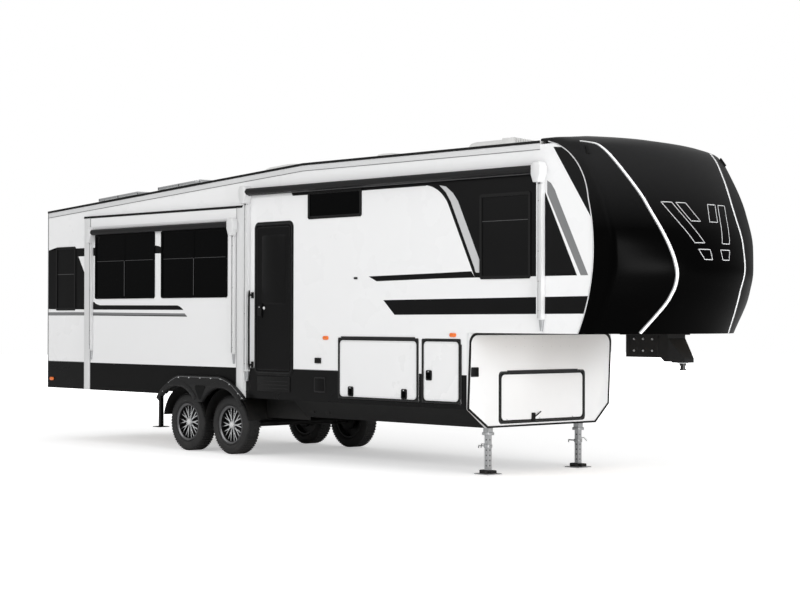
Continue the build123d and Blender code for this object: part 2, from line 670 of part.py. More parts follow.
# Fender over both wheels, as (ahead of the wheels' middle, Z); between the wheels it hangs down in a shield.
FENDER_TOP = 1032.0
FENDER_EDGE = ((-904.0, 742.0), (-845.0, 821.0), (-653.0, 965.0), (-474.0, FENDER_TOP), (499.0, FENDER_TOP),
               (721.0, 961.0), (940.0, 820.0), (1027.0, 742.0), (110.0, 683.0), (12.0, 683.0))


# Slide-out rooms: a box open to the inside, its outer panel, glass, topper awning and skirt with fender.
def slide_room(hand):
    side = HANDS[hand]
    mid = at((SLIDE_REAR + SLIDE_FRONT) / 2)
    length = SLIDE_FRONT - SLIDE_REAR
    with BuildPart() as room:
        with BuildSketch(facing(outer_y(side, BODY_HALF + SEAM, SLIDE_Y))):
            with Locations((mid, (SLIDE_TOP + SKIRT_Z) / 2)):
                Rectangle(length, SLIDE_TOP - SKIRT_Z)
            with Locations((mid, (COLOUR_Z + SKIRT_Z - WALL) / 2)):
                Rectangle(length - 2 * SLIDE_TRIM, COLOUR_Z - SKIRT_Z + WALL, mode=Mode.SUBTRACT)
            for pane in SLIDE_PANES:
                panel(pane, mode=Mode.SUBTRACT)
        extrude(amount=SLIDE_LIP - SEAM)
        box_len, box_low = length - 2 * SLIDE_LAP - 2 * CLEAR, SLIDE_FLOOR_Z
        box_high = SLIDE_TOP - SLIDE_LAP - CLEAR
        with BuildSketch(facing(outer_y(side, SLIDE_Y - SLIDE_DEPTH, BODY_HALF + SEAM))):
            with Locations((mid, (box_low + box_high) / 2)):
                Rectangle(box_len, box_high - box_low)
                Rectangle(box_len - 2 * SLIDE_WALL, box_high - box_low - 2 * SLIDE_WALL, mode=Mode.SUBTRACT)
        extrude(amount=BODY_HALF + SEAM - SLIDE_Y + SLIDE_DEPTH)
    keep(f"slide_{hand}_room", room.part)

    with BuildPart() as glass:
        for pane in SLIDE_PANES:
            with BuildSketch(facing(outer_y(side, SLIDE_Y - GLASS_T, SLIDE_Y))):
                panel(pane, grow=-SEAM)
            extrude(amount=GLASS_T)
            with BuildSketch(facing(outer_y(side, SLIDE_Y, SLIDE_Y + FRAME_LIP))):
                panel(pane, grow=FRAME_LAP)
                panel(pane, grow=-FRAME_LAP, mode=Mode.SUBTRACT)
            extrude(amount=FRAME_LIP)
            with BuildSketch(facing(outer_y(side, SLIDE_Y, SLIDE_Y + MULLION_T))):
                with Locations((at((pane.rear + pane.front) / 2), (pane.low + pane.high) / 2)):
                    Rectangle(MULLION_W, pane.high - pane.low)
            extrude(amount=MULLION_T)
    keep(f"slide_{hand}_windows", glass.part)

    with BuildPart() as topper:
        for station in TOPPER_ARMS:
            with BuildSketch(facing(outer_y(side, SLIDE_Y + SEAM, SLIDE_Y + TOPPER_ARM[1]))):
                with Locations((at(station), (TOPPER_ARM_LOW + TOPPER_Z) / 2)):
                    Rectangle(TOPPER_ARM[0], TOPPER_Z - TOPPER_ARM_LOW)
            extrude(amount=TOPPER_ARM[1] - SEAM)
            with BuildSketch(facing(outer_y(side, SLIDE_Y + SEAM, SLIDE_Y + 2 * AWNING_R + SEAM))):
                with Locations((at(station), TOPPER_Z)):
                    RectangleRounded(HEAD_W, 2 * AWNING_R + HEAD_EXTRA, 20.0)
            extrude(amount=2 * AWNING_R)
        with BuildSketch(Plane.YZ.offset(at(TOPPER_ARMS[0]))):
            with Locations((side * (SLIDE_Y + AWNING_R + SEAM), TOPPER_Z)):
                Circle(AWNING_R - 4.0)
        extrude(amount=TOPPER_ARMS[1] - TOPPER_ARMS[0])
    keep(f"slide_{hand}_awning", topper.part)

    arches = [(at(station), WHEEL_R) for station in AXLES.values()]
    with BuildPart() as skirt:
        with BuildSketch(facing(outer_y(side, SLIDE_Y - SKIRT_T, SLIDE_Y))):
            with Locations((mid, (SKIRT_Z + COLOUR_Z - SEAM) / 2)):
                Rectangle(length - 2 * SLIDE_TRIM - 2 * SEAM, COLOUR_Z - SEAM - SKIRT_Z)
            with Locations(*arches):
                Circle(ARCH_R, mode=Mode.SUBTRACT)
        extrude(amount=SKIRT_T)
        with BuildSketch(facing(outer_y(side, SLIDE_Y + SEAM, SLIDE_Y + FENDER_OUT))):
            Polygon(*[(at(WHEEL_MID + ahead), z) for ahead, z in FENDER_EDGE], align=None)
            with Locations(*arches):
                Circle(ARCH_R, mode=Mode.SUBTRACT)
        extrude(amount=FENDER_OUT - SEAM)
        with BuildSketch(facing(outer_y(side, SLIDE_Y, SLIDE_Y + SEAM))):
            with Locations((at(WHEEL_MID), (FENDER_TOP + WHEEL_R + ARCH_R) / 2)):
                Rectangle(AXLE_SPACING, (FENDER_TOP - WHEEL_R - ARCH_R) / 2)
        extrude(amount=SEAM)
    keep(f"slide_{hand}_skirt", skirt.part)


for hand in HANDS:
    slide_room(hand)

# Entry door in its frame, hinged along its front edge.
with BuildPart() as door_frame:
    with BuildSketch(facing(-WALL_IN)):
        panel(ENTRY, grow=-SEAM)
        panel(ENTRY, grow=-DOOR_RIM, mode=Mode.SUBTRACT)
    extrude(amount=WALL + DOOR_PROUD)
keep("door_frame", door_frame.part)

DOOR_PIN_X = at(ENTRY.front - DOOR_RIM + HINGE_OFF)
DOOR_EDGE_X = at(ENTRY.front - DOOR_RIM - CLEAR)
STRAP_ROWS = (ENTRY.low + STRAP_INSET, (ENTRY.low + ENTRY.high) / 2, ENTRY.high - STRAP_INSET)
with BuildPart() as entry_door:
    with BuildSketch(facing(DOOR_T - DOOR_FACE)):
        panel(ENTRY, grow=-DOOR_RIM - CLEAR)
    extrude(amount=DOOR_T)
    with BuildSketch(facing(-DOOR_FACE)):
        with Locations((at(ENTRY.rear + LATCH_IN), LATCH_Z)):
            Rectangle(LATCH[0], LATCH[1])
    extrude(amount=LATCH[2])
    with BuildSketch(facing(-DOOR_FACE - SEAM)):
        for z in STRAP_ROWS:
            with Locations((DOOR_PIN_X - STRAP_W / 2, z)):
                Rectangle(STRAP_W, STRAP_LENGTH)
    extrude(amount=STRAP_T)
    with BuildSketch(facing(-DOOR_FACE + 1.0)):
        for z in STRAP_ROWS:
            with Locations((DOOR_EDGE_X - STRAP_W / 4, z)):
                Rectangle(STRAP_W / 2, STRAP_LENGTH)
    extrude(amount=STRAP_T)
    with BuildSketch(Plane.XY.offset(ENTRY.low + DOOR_PIN_INSET)):
        with Locations((DOOR_PIN_X, -DOOR_FACE - HINGE_OUT)):
            Circle(HINGE_R)
    extrude(amount=ENTRY.high - ENTRY.low - 2 * DOOR_PIN_INSET)
keep("entry_door", entry_door.part)


# Storage doors and the front hatch: flush leaves with a raised edge, a hinge pin and its strap.
STRAP_REACH = HINGE_OFF + CLEAR + 2 * STRAP_LAP
STRAP_SHIFT = (HINGE_OFF - CLEAR) / 2 - STRAP_LAP


def leaf_edge(o, middle):
    panel(o, grow=-CLEAR, middle=middle)
    panel(o, grow=-CLEAR - LEAF_EDGE, mode=Mode.SUBTRACT, middle=middle)


def storage_door(name, o, side, top_hinged):
    pin_y = side * (BODY_HALF + HINGE_OUT)
    span = (o.front - o.rear if top_hinged else o.high - o.low) - 6 * o.corner
    with BuildPart() as leaf:
        with BuildSketch(facing(outer_y(side, BODY_HALF - LEAF_T, BODY_HALF))):
            panel(o, grow=-CLEAR)
        extrude(amount=LEAF_T)
        with BuildSketch(facing(outer_y(side, BODY_HALF, BODY_HALF + LEAF_EDGE_T))):
            leaf_edge(o, X_SHIFT)
        extrude(amount=LEAF_EDGE_T)
        with BuildSketch(facing(outer_y(side, BODY_HALF + SEAM, BODY_HALF + LEAF_EDGE_T))):
            if top_hinged:
                with Locations((at((o.rear + o.front) / 2), o.high + STRAP_SHIFT)):
                    Rectangle(span, STRAP_REACH)
            else:
                with Locations((at(o.front) + STRAP_SHIFT, (o.low + o.high) / 2)):
                    Rectangle(STRAP_REACH, span)
        extrude(amount=LEAF_EDGE_T - SEAM)
        if top_hinged:
            with BuildSketch(Plane.YZ.offset(at((o.rear + o.front - span) / 2))):
                with Locations((pin_y, o.high + HINGE_OFF)):
                    Circle(HINGE_R)
        else:
            with BuildSketch(Plane.XY.offset((o.low + o.high - span) / 2)):
                with Locations((at(o.front + HINGE_OFF), pin_y)):
                    Circle(HINGE_R)
        extrude(amount=span)
    keep(name, leaf.part)


for hand, side in HANDS.items():
    storage_door(f"storage_door_{hand}_rear", BAGGAGE_REAR, side, True)
    storage_door(f"storage_door_{hand}_front", BAGGAGE_FRONT, side, False)

with BuildPart() as hatch:
    span = HATCH.front - HATCH.rear - 6 * HATCH.corner
    with BuildSketch(Plane.YZ.offset(at(LOWER_FRONT - LEAF_T))):
        panel(HATCH, grow=-CLEAR, middle=0.0)
    extrude(amount=LEAF_T)
    with BuildSketch(Plane.YZ.offset(at(LOWER_FRONT))):
        leaf_edge(HATCH, 0.0)
    extrude(amount=LEAF_EDGE_T)
    with BuildSketch(Plane.YZ.offset(at(LOWER_FRONT + SEAM))):
        with Locations((0, HATCH.high + STRAP_SHIFT)):
            Rectangle(span, STRAP_REACH)
    extrude(amount=LEAF_EDGE_T - SEAM)
    with BuildSketch(Plane.XZ.offset(-span / 2)):
        with Locations((at(LOWER_FRONT + HINGE_OUT), HATCH.high + HINGE_OFF)):
            Circle(HINGE_R)
    extrude(amount=span)
keep("front_hatch", hatch.part)

# Windows in the fixed walls: frames that lap the wall, and glass inside the openings.
SIDE_WINDOWS = ((RIGHT, REAR_SIDE), (RIGHT, HALL), (RIGHT, BED),
                (LEFT, REAR_SIDE), (LEFT, GALLEY), (LEFT, BED))
with BuildPart() as frames:
    for side, o in SIDE_WINDOWS:
        with BuildSketch(facing(outer_y(side, BODY_HALF, BODY_HALF + FRAME_LIP))):
            panel(o, grow=FRAME_LAP)
            panel(o, grow=-FRAME_LAP, mode=Mode.SUBTRACT)
        extrude(amount=FRAME_LIP)
    with BuildSketch(Plane.YZ.offset(at(0))):
        panel(REAR_PANE, grow=FRAME_LAP, middle=0.0)
        panel(REAR_PANE, grow=-FRAME_LAP, mode=Mode.SUBTRACT, middle=0.0)
    extrude(amount=-FRAME_LIP)
keep("window_frames", frames.part)

with BuildPart() as glass:
    for side, o in SIDE_WINDOWS:
        with BuildSketch(facing(outer_y(side, BODY_HALF - GLASS_T, BODY_HALF - SEAM))):
            panel(o, grow=-SEAM)
        extrude(amount=GLASS_T - SEAM)
    with BuildSketch(Plane.YZ.offset(at(SEAM))):
        panel(REAR_PANE, grow=-SEAM, middle=0.0)
    extrude(amount=GLASS_T)
keep("window_glass", glass.part)

# Main awning: roller between two heads, on two arms against the wall.
with BuildPart() as arms:
    for station, low in AWNING_ARMS:
        with BuildSketch(facing(-BODY_HALF - SEAM)):
            with Locations((at(station), (low + AWNING_Z) / 2)):
                Rectangle(ARM_W, AWNING_Z - low)
        extrude(amount=ARM_D - SEAM)
        with BuildSketch(facing(-BODY_HALF - SEAM)):
            with Locations((at(station), AWNING_Z)):
                RectangleRounded(HEAD_W, 2 * AWNING_R + HEAD_EXTRA, 20.0)
        extrude(amount=AWNING_OUT + AWNING_R)
keep("awning_arms", arms.part)

with BuildPart() as roller:
    start, end = (station for station, low in AWNING_ARMS)
    with BuildSketch(Plane.YZ.offset(at(start + HEAD_W / 2 + SEAM))):
        with Locations((-(BODY_HALF + AWNING_OUT), AWNING_Z)):
            Circle(AWNING_R - 3.0)
    extrude(amount=end - start - HEAD_W - 2 * SEAM)
keep("awning_roller", roller.part)

# Pin box: a box under the deck and an arm that narrows to the coupling plate.
with BuildPart() as pin_box:
    with BuildSketch(facing(BOX_HALF)):
        with BuildLine():
            top, sole = GOOSE_Z - SEAM, PIN_PLATE_Z + PLATE_T
            Polyline((at(BOX_BACK), top), (at(BOX_BACK), BOX_LOW), (at(BOX_FRONT), BOX_LOW),
                     (at(BOX_FRONT) + WALL, sole), (at(ARM_TIP), sole), (at(ARM_TIP), sole + ARM_TIP_H),
                     (at(BOX_FRONT) + 2 * WALL, GOOSE_Z - WALL), (at(BOX_FRONT) + 2 * WALL, top), close=True)
        make_face()
    extrude(amount=2 * BOX_HALF)
    for side in (RIGHT, LEFT):
        with BuildSketch(Plane.XY.offset(PIN_PLATE_Z)):
            with BuildLine():
                wide, tip = side * (BOX_HALF + SEAM), side * ARM_TIP_HALF
                front = at(ARM_TIP) + SEAM
                Polyline((at(BOX_FRONT) + 2 * WALL, wide), (front, tip), (front, wide), close=True)
            make_face()
        extrude(amount=GOOSE_Z - PIN_PLATE_Z, mode=Mode.SUBTRACT)
    with BuildSketch(Plane.XY.offset(PIN_PLATE_Z)):
        with Locations((at(PIN_STATION), 0)):
            Rectangle(2 * (ARM_TIP - PIN_STATION), 2 * ARM_TIP_HALF)
    extrude(amount=PLATE_T)
keep("pin_box", pin_box.part)

# Kingpin: shoulder, neck and head, below the plate.
with BuildPart() as kingpin:
    level = PIN_PLATE_Z
    for radius, height in ((PIN_SHOULDER_R, PIN_SHOULDER), (PIN_R, PIN_NECK), (PIN_HEAD_R, PIN_HEAD)):
        with BuildSketch(Plane.XY.offset(level)):
            with Locations((at(PIN_STATION), 0)):
                Circle(radius)
        extrude(amount=-height)
        level -= height
keep("kingpin", kingpin.part)

# Landing legs at the front: a sleeve, an inner tube and a foot.
with BuildPart() as legs:
    for side in (RIGHT, LEFT):
        place = (at(LEG_STATION), side * LEG_Y)
        for low, high, width in ((LEG_SLEEVE_LOW, LEG_TOP, LEG_W), (FOOT_T, LEG_SLEEVE_LOW, LEG_INNER),
                                 (0.0, FOOT_T, FOOT)):
            with BuildSketch(Plane.XY.offset(low)):
                with Locations(place):
                    Rectangle(width, width)
            extrude(amount=high - low)
keep("landing_legs", legs.part)

# Stabilizer jacks under the rails, drawn up.
JACK_STATION = HANGERS[0] - JACK_BEHIND
with BuildPart() as jacks:
    for side in (RIGHT, LEFT):
        for low, high, width in ((JACK_FOOT_Z, RAIL_LOW - SEAM, JACK_W),
                                 (JACK_FOOT_Z, JACK_FOOT_Z + JACK_FOOT_T, JACK_FOOT)):
            with BuildSketch(Plane.XY.offset(low)):
                with Locations((at(JACK_STATION), side * RAIL_Y)):
                    Rectangle(width, width)
            extrude(amount=high - low)
keep("rear_jacks", jacks.part)

# Rear bumper, with brackets to the wall below the rails' ends.
with BuildPart() as bumper:
    with BuildSketch(Plane.XZ.offset(-BUMPER_HALF)):
        with Locations((at(BUMPER / 2 - BUMPER_OUT), RAIL_LOW + BUMPER / 2)):
            Rectangle(BUMPER, BUMPER)
    extrude(amount=2 * BUMPER_HALF)
    with BuildSketch(Plane.YZ.offset(at(BUMPER - BUMPER_OUT))):
        with Locations((-RAIL_Y, RAIL_LOW + BUMPER / 2), (RAIL_Y, RAIL_LOW + BUMPER / 2)):
            Rectangle(*BRACKET)
    extrude(amount=BUMPER_OUT - BUMPER - SEAM)
keep("bumper", bumper.part)

# Ladder: two tube rails held off the wall, and flat treads between them.
with BuildPart() as ladder_rails:
    for y in (LADDER_Y - LADDER_HALF, LADDER_Y + LADDER_HALF):
        with BuildSketch(Plane.XY.offset(LADDER_LOW)):
            with Locations((at(-LADDER_OUT), y)):
                Circle(LADDER_R)
        extrude(amount=LADDER_HIGH - LADDER_LOW)
        for z in STANDOFFS:
            with BuildSketch(Plane.YZ.offset(at(-LADDER_OUT))):
                with Locations((y, z)):
                    Rectangle(LADDER_R, LADDER_R)
            extrude(amount=LADDER_OUT - SEAM)
keep("ladder_rails", ladder_rails.part)

with BuildPart() as treads:
    tread_half = LADDER_HALF - LADDER_R - SEAM
    for step in range(LADDER_STEPS):
        with BuildSketch(Plane.XZ.offset(-LADDER_Y - tread_half)):
            with Locations((at(-LADDER_OUT), LADDER_LOW + LADDER_STEP * (step + 0.4))):
                Rectangle(*TREAD)
        extrude(amount=2 * tread_half)
keep("ladder_treads", treads.part)

with BuildPart() as lamps:
    with BuildSketch(Plane.YZ.offset(at(-SEAM))):
        with Locations((-LAMP_Y, LAMP_Z), (LAMP_Y, LAMP_Z)):
            Rectangle(LAMP[0], LAMP[1])
    extrude(amount=-LAMP[2])
    with BuildSketch(Plane.YZ.offset(at(-SEAM))):
        with Locations((-MARKER_SPACING, MARKER_Z), (0, MARKER_Z), (MARKER_SPACING, MARKER_Z)):
            Rectangle(MARKER[0], MARKER[1])
    extrude(amount=-MARKER[2])
keep("rear_lamps", lamps.part)


# Roof equipment.
def on_roof(station, y, lift=0.0):
    """A plane on the roof there, sloping with it."""
    slope = (ROOF_FRONT_Z - ROOF_REAR_Z) / ROOF_BREAK
    if station > ROOF_BREAK:
        slope = 0.0
    top = ROOF_REAR_Z + slope * station if slope else ROOF_FRONT_Z
    plane = Plane(origin=(at(station), y, top), x_dir=(1, 0, slope), z_dir=(-slope, 0, 1))
    return plane.offset(lift + SEAM)


with BuildPart() as coolers:
    for station in COOLER_STATIONS:
        with BuildSketch(on_roof(station, 0)):
            RectangleRounded(COOLER[0], COOLER[1], COOLER_CORNER)
        extrude(amount=COOLER[2], taper=8)
keep("air_conditioners", coolers.part)

with BuildPart() as vents:
    for station, y in VENT_PLACES:
        with BuildSketch(on_roof(station, y)):
            Rectangle(VENT[0], VENT[0])
        extrude(amount=VENT[1], taper=10)
keep("roof_vents", vents.part)

with BuildPart() as panels:
    for station in PANEL_STATIONS:
        with BuildSketch(on_roof(station, PANEL_Y, PANEL_LIFT)):
            Rectangle(PANEL[0], PANEL[1])
        extrude(amount=PANEL[2])
        with BuildSketch(on_roof(station, PANEL_Y)):
            with GridLocations(PANEL[0] - 2 * PANEL_FOOT_IN[0], PANEL[1] - 2 * PANEL_FOOT_IN[1], 2, 2):
                Rectangle(*PANEL_FOOT)
        extrude(amount=PANEL_LIFT + 1.0)
keep("solar_panels", panels.part)

# Grab handle beside the door.
with BuildPart() as grab:
    station = ENTRY.rear - GRAB_BEHIND
    with BuildSketch(facing(-BODY_HALF - GRAB_OUT)):
        with Locations((at(station), GRAB_Z)):
            RectangleRounded(GRAB[0], GRAB[1], GRAB[0] * 0.4)
    extrude(amount=GRAB[2])
    with BuildSketch(facing(-BODY_HALF - SEAM)):
        with Locations((at(station), GRAB_Z - GRAB_FEET / 2), (at(station), GRAB_Z + GRAB_FEET / 2)):
            Rectangle(*GRAB_FOOT)
    extrude(amount=GRAB_OUT + 1.0)
keep("grab_handle", grab.part)

os.makedirs("parts", exist_ok=True)
for name, part in parts.items():
    export_step(part, f"parts/{name}.step")
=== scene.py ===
# %% [markdown]
# # Dressing a fifth wheel trailer
# The construction is already fixed: walls, cap, wheels and doors come in as finished solids. This
# notebook gives them their looks, piece by piece: paint and vinyl first, then windows, trims, wheels,
# awnings, roof equipment and running gear. Everything is in metres, in the frame of the solids.

# %% Load the frame
import math

import bmesh
import bpy
from mathutils import Matrix, Vector
from mathutils.bvhtree import BVHTree


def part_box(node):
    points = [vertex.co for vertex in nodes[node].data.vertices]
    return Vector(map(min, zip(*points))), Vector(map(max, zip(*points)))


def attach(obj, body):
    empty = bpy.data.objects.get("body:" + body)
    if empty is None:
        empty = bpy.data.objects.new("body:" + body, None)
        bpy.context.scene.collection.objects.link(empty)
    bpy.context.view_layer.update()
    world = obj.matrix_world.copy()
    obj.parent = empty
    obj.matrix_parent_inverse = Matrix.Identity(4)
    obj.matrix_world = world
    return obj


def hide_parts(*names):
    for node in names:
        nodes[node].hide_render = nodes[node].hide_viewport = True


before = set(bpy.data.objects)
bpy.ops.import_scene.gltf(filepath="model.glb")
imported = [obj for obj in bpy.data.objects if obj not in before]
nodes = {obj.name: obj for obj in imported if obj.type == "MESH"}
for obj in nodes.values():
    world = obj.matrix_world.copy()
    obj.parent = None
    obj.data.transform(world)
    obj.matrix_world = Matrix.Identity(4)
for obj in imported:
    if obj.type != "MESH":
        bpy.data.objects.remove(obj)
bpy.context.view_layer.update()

# %% [markdown]
# ## Where things are
# A long vehicle is measured in stations, counted forwards from the outside of the rear wall. Every
# station and face below is read from the solids themselves, so a change there carries through.

# %% Reference faces and stations
RIGHT, LEFT = -1, 1
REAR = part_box("wall_rear")[0][0]
SIDE_FACE = -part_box("wall_right")[0][1]
SLIDE_LOW, SLIDE_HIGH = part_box("slide_right_room")
SLIDE_FACE = -SLIDE_LOW[1]
SKIRT_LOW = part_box("wall_right")[0][2]
SKIRT_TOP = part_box("slide_right_skirt")[1][2]
ROOF_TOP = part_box("roof")[1][2]
ROOF_REAR_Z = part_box("wall_rear")[1][2] + 0.04
ROOF_BREAK = 5.997
LOWER_FRONT_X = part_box("lower_front")[1][0]
GOOSE_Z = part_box("lower_front")[1][2]
WHEEL_R = (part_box("tyre_front_right")[1][2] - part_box("tyre_front_right")[0][2]) / 2
VINYL = 0.0008


def at(station):
    """The X of a station."""
    return REAR + station


def station_of(x):
    return x - REAR


print("side face", round(SIDE_FACE, 4), "slide face", round(SLIDE_FACE, 4), "skirt top", round(SKIRT_TOP, 4))

# %% [markdown]
# ## The tools of the shop
# Most trim on a trailer is flat sheet: vinyl stripes, window glass, flanges. A filled 2D curve is the
# quickest honest way to make it, because it takes holes and rounded corners, and becomes a mesh with
# clean edges. Boxes with eased edges and swept tubes cover most of the rest.

# %% Small mesh helpers
scene = bpy.context.scene
collection = scene.collection


def link(name, mesh):
    piece = bpy.data.objects.new(name, mesh)
    collection.objects.link(piece)
    return piece


def plain_mesh(piece):
    """The evaluated mesh of a curve or of a piece with modifiers."""
    depsgraph = bpy.context.evaluated_depsgraph_get()
    return bpy.data.meshes.new_from_object(piece.evaluated_get(depsgraph))


def mesh_of(name, shape, outward=True):
    """Ends a shape being edited and writes it to a new mesh."""
    if outward:
        bmesh.ops.recalc_face_normals(shape, faces=shape.faces)
    mesh = bpy.data.meshes.new(name)
    shape.to_mesh(mesh)
    shape.free()
    return mesh


def recalculate(mesh, doubles=1e-6):
    """Merges points that fall together and turns the faces outward."""
    shape = bmesh.new()
    shape.from_mesh(mesh)
    bmesh.ops.remove_doubles(shape, verts=shape.verts, dist=doubles)
    bmesh.ops.recalc_face_normals(shape, faces=shape.faces)
    shape.to_mesh(mesh)
    shape.free()


def side_place(side, face, depth):
    """Turns a flat sheet, drawn as (X, Z), to stand on a side face, its back on the face."""
    out = Vector((0, side, 0))
    middle = out * (face + depth / 2)
    return Matrix(((1, 0, 0, 0), (0, 0, side, middle.y), (0, 1, 0, 0), (0, 0, 0, 1)))


def front_place(x, depth, facing=1):
    """Turns a flat sheet, drawn as (Y, Z), to stand on a front or rear face."""
    return Matrix(((0, 0, facing, x + facing * depth / 2), (1, 0, 0, 0), (0, 1, 0, 0), (0, 0, 0, 1)))


def drawn(name, curve, lines, cyclic=True):
    """The mesh of a curve through rows of points, flat or in space."""
    for line in lines:
        spline = curve.splines.new("POLY")
        spline.points.add(len(line) - 1)
        for point, place in zip(spline.points, line):
            point.co = (*place, 1) if len(place) == 3 else (*place, 0, 1)
        spline.use_cyclic_u = cyclic
    blank = link(name + "_blank", curve)
    mesh = plain_mesh(blank)
    bpy.data.objects.remove(blank)
    return mesh


def prism(name, loop, depth):
    """A flat sheet without holes or eased edges, as one face given thickness."""
    shape = bmesh.new()
    low, high = ([shape.verts.new((u, v, w)) for u, v in loop] for w in (-depth / 2, depth / 2))
    caps = [shape.faces.new(low), shape.faces.new(high)]
    for i in range(len(loop)):
        shape.faces.new((low[i - 1], low[i], high[i], high[i - 1]))
    bmesh.ops.triangulate(shape, faces=caps)
    return mesh_of(name, shape)


def sheet(name, loops, depth, place, ease=0.0):
    """A flat sheet with holes: outlines in two dimensions, given thickness, then placed."""
    if len(loops) == 1 and not ease:
        mesh = prism(name, loops[0], depth)
    else:
        curve = bpy.data.curves.new(name, "CURVE")
        curve.dimensions = "2D"
        curve.fill_mode = "BOTH"
        curve.extrude = depth / 2 - ease
        curve.bevel_depth, curve.bevel_resolution, curve.offset = ease, 1, -ease
        mesh = drawn(name, curve, loops)
    mesh.transform(place)
    recalculate(mesh)
    return link(name, mesh)


def rounded(points, steps=6):
    """An outline whose corners are (u, v, radius)."""
    loop = []
    for i, (u, v, r) in enumerate(points):
        here = Vector((u, v))
        before = (Vector(points[i - 1][:2]) - here)
        after = (Vector(points[(i + 1) % len(points)][:2]) - here)
        if not r:
            loop.append((u, v))
            continue
        half = before.angle(after) / 2
        reach = min(r / math.tan(half), before.length * 0.49, after.length * 0.49)
        radius = reach * math.tan(half)
        centre = here + (before.normalized() + after.normalized()).normalized() * (radius / math.sin(half))
        start = here + before.normalized() * reach - centre
        end = here + after.normalized() * reach - centre
        turn = start.angle_signed(end)
        for k in range(steps + 1):
            angle = -turn * k / steps
            c, s = math.cos(angle), math.sin(angle)
            loop.append((centre.x + start.x * c - start.y * s, centre.y + start.x * s + start.y * c))
    return loop


def rectangle(u0, u1, v0, v1, r=0.0, steps=6):
    return rounded([(u0, v0, r), (u1, v0, r), (u1, v1, r), (u0, v1, r)], steps)


def around(u, v, half_u, half_v, r=0.0):
    """A rectangle about its middle."""
    return rectangle(u - half_u, u + half_u, v - half_v, v + half_v, r)


def inside(box, by, r, steps=6, up=None):
    """The outline of a box of (u0, u1, v0, v1) drawn in by a distance, up and down by another."""
    up = by if up is None else up
    return rectangle(box[0] + by, box[1] - by, box[2] + up, box[3] - up, r, steps)


def about(middle, half):
    """The low and high corner of a box about its middle."""
    return tuple(m - h for m, h in zip(middle, half)), tuple(m + h for m, h in zip(middle, half))


def blocks(name, boxes, ease=0.0):
    """Boxes with eased edges, joined in one mesh; each box is its low and high corner."""
    shape = bmesh.new()
    for low, high in boxes:
        made = bmesh.ops.create_cube(shape, size=1.0)["verts"]
        for v in made:
            v.co = Vector([(lo + hi) / 2 + c * (hi - lo) for lo, hi, c in zip(low, high, v.co)])
    if ease:
        bmesh.ops.bevel(shape, geom=list(shape.edges), offset=ease, segments=2, affect="EDGES", profile=0.5)
    return link(name, mesh_of(name, shape, outward=False))


def lathe(name, profile, centre, axis, steps=48, closed=True):
    """Turns a profile of (along the axis, radius) about an axis through centre."""
    axis = Vector(axis).normalized()
    side = axis.orthogonal().normalized()
    up = axis.cross(side)
    shape = bmesh.new()
    rings = []
    for i in range(steps):
        angle = 2 * math.pi * i / steps
        out = side * math.cos(angle) + up * math.sin(angle)
        rings.append([shape.verts.new(Vector(centre) + axis * a + out * r) for a, r in profile])
    count = len(profile)
    for i in range(steps):
        here, there = rings[i], rings[(i + 1) % steps]
        for j in range(count if closed else count - 1):
            k = (j + 1) % count
            shape.faces.new((here[j], there[j], there[k], here[k]))
    bmesh.ops.remove_doubles(shape, verts=shape.verts, dist=1e-6)
    return link(name, mesh_of(name, shape))


def tube(name, points, radius, resolution=4, cyclic=False):
    """A round bar along points."""
    curve = bpy.data.curves.new(name, "CURVE")
    curve.dimensions = "3D"
    curve.bevel_depth = radius
    curve.bevel_resolution = resolution
    curve.use_fill_caps = True
    mesh = drawn(name, curve, [points], cyclic)
    recalculate(mesh)
    return link(name, mesh)


def join(name, pieces):
    """One mesh of several, which are used up."""
    shape = bmesh.new()
    for piece in pieces:
        shape.from_mesh(piece.data)
    for piece in pieces:
        bpy.data.objects.remove(piece)
    return link(name, mesh_of(name, shape, outward=False))


def smooth(mesh, degrees=35.0):
    """Smooth shading with hard edges kept hard."""
    mesh.polygons.foreach_set("use_smooth", [True] * len(mesh.polygons))
    shape = bmesh.new()
    shape.from_mesh(mesh)
    for edge in shape.edges:
        edge.smooth = len(edge.link_faces) == 2 and edge.calc_face_angle(0) < math.radians(degrees)
    shape.to_mesh(mesh)
    shape.free()


made = []


def paint(piece, material):
    piece.data.materials.clear()
    piece.data.materials.append(material)


def fit(piece, material, body="body", stands_for=()):
    """Gives a finished piece its material and its place in the trailer's motion."""
    smooth(piece.data)
    paint(piece, material)
    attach(piece, body)
    if stands_for:
        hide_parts(*stands_for)
    made.append(piece.name)
    return piece


# %% [markdown]
# ## Shared effects
# Painted and moulded surfaces are never quite flat or even. Three node groups serve the materials: a
# grain that gives a height and a slow mottling, road dust that gathers low down, and a mask that splits
# a solid into two colours at a level, for the skirt line and the door gaskets, and with a soft change for
# the painted sheen on the top of the cap. They put out only colours and masks, and each material feeds
# them into its own shader.

# %% Node groups
def new_group(name, inputs, outputs, kind="ShaderNodeTree"):
    """A node group with named inputs and outputs, and its two end nodes."""
    group = bpy.data.node_groups.new(name, kind)
    for label, socket_kind, value in inputs:
        socket = group.interface.new_socket(label, in_out="INPUT", socket_type="NodeSocket" + socket_kind)
        if value is not None:
            socket.default_value = value
    for label, socket_kind in outputs:
        group.interface.new_socket(label, in_out="OUTPUT", socket_type="NodeSocket" + socket_kind)
    return group, group.nodes.new("NodeGroupInput").outputs, group.nodes.new("NodeGroupOutput")


def add_node(tree, kind, links=(), **settings):
    """A node with its settings and inputs; an input is a value or a socket to link from."""
    node = tree.nodes.new(kind)
    for key, value in settings.items():
        setattr(node, key, value)
    for key, value in dict(links).items():
        if isinstance(value, bpy.types.NodeSocket):
            tree.links.new(value, node.inputs[key])
        else:
            node.inputs[key].default_value = value
    return node


def maths(group, operation, first, second):
    return add_node(group, "ShaderNodeMath", {0: first, 1: second}, operation=operation).outputs[0]


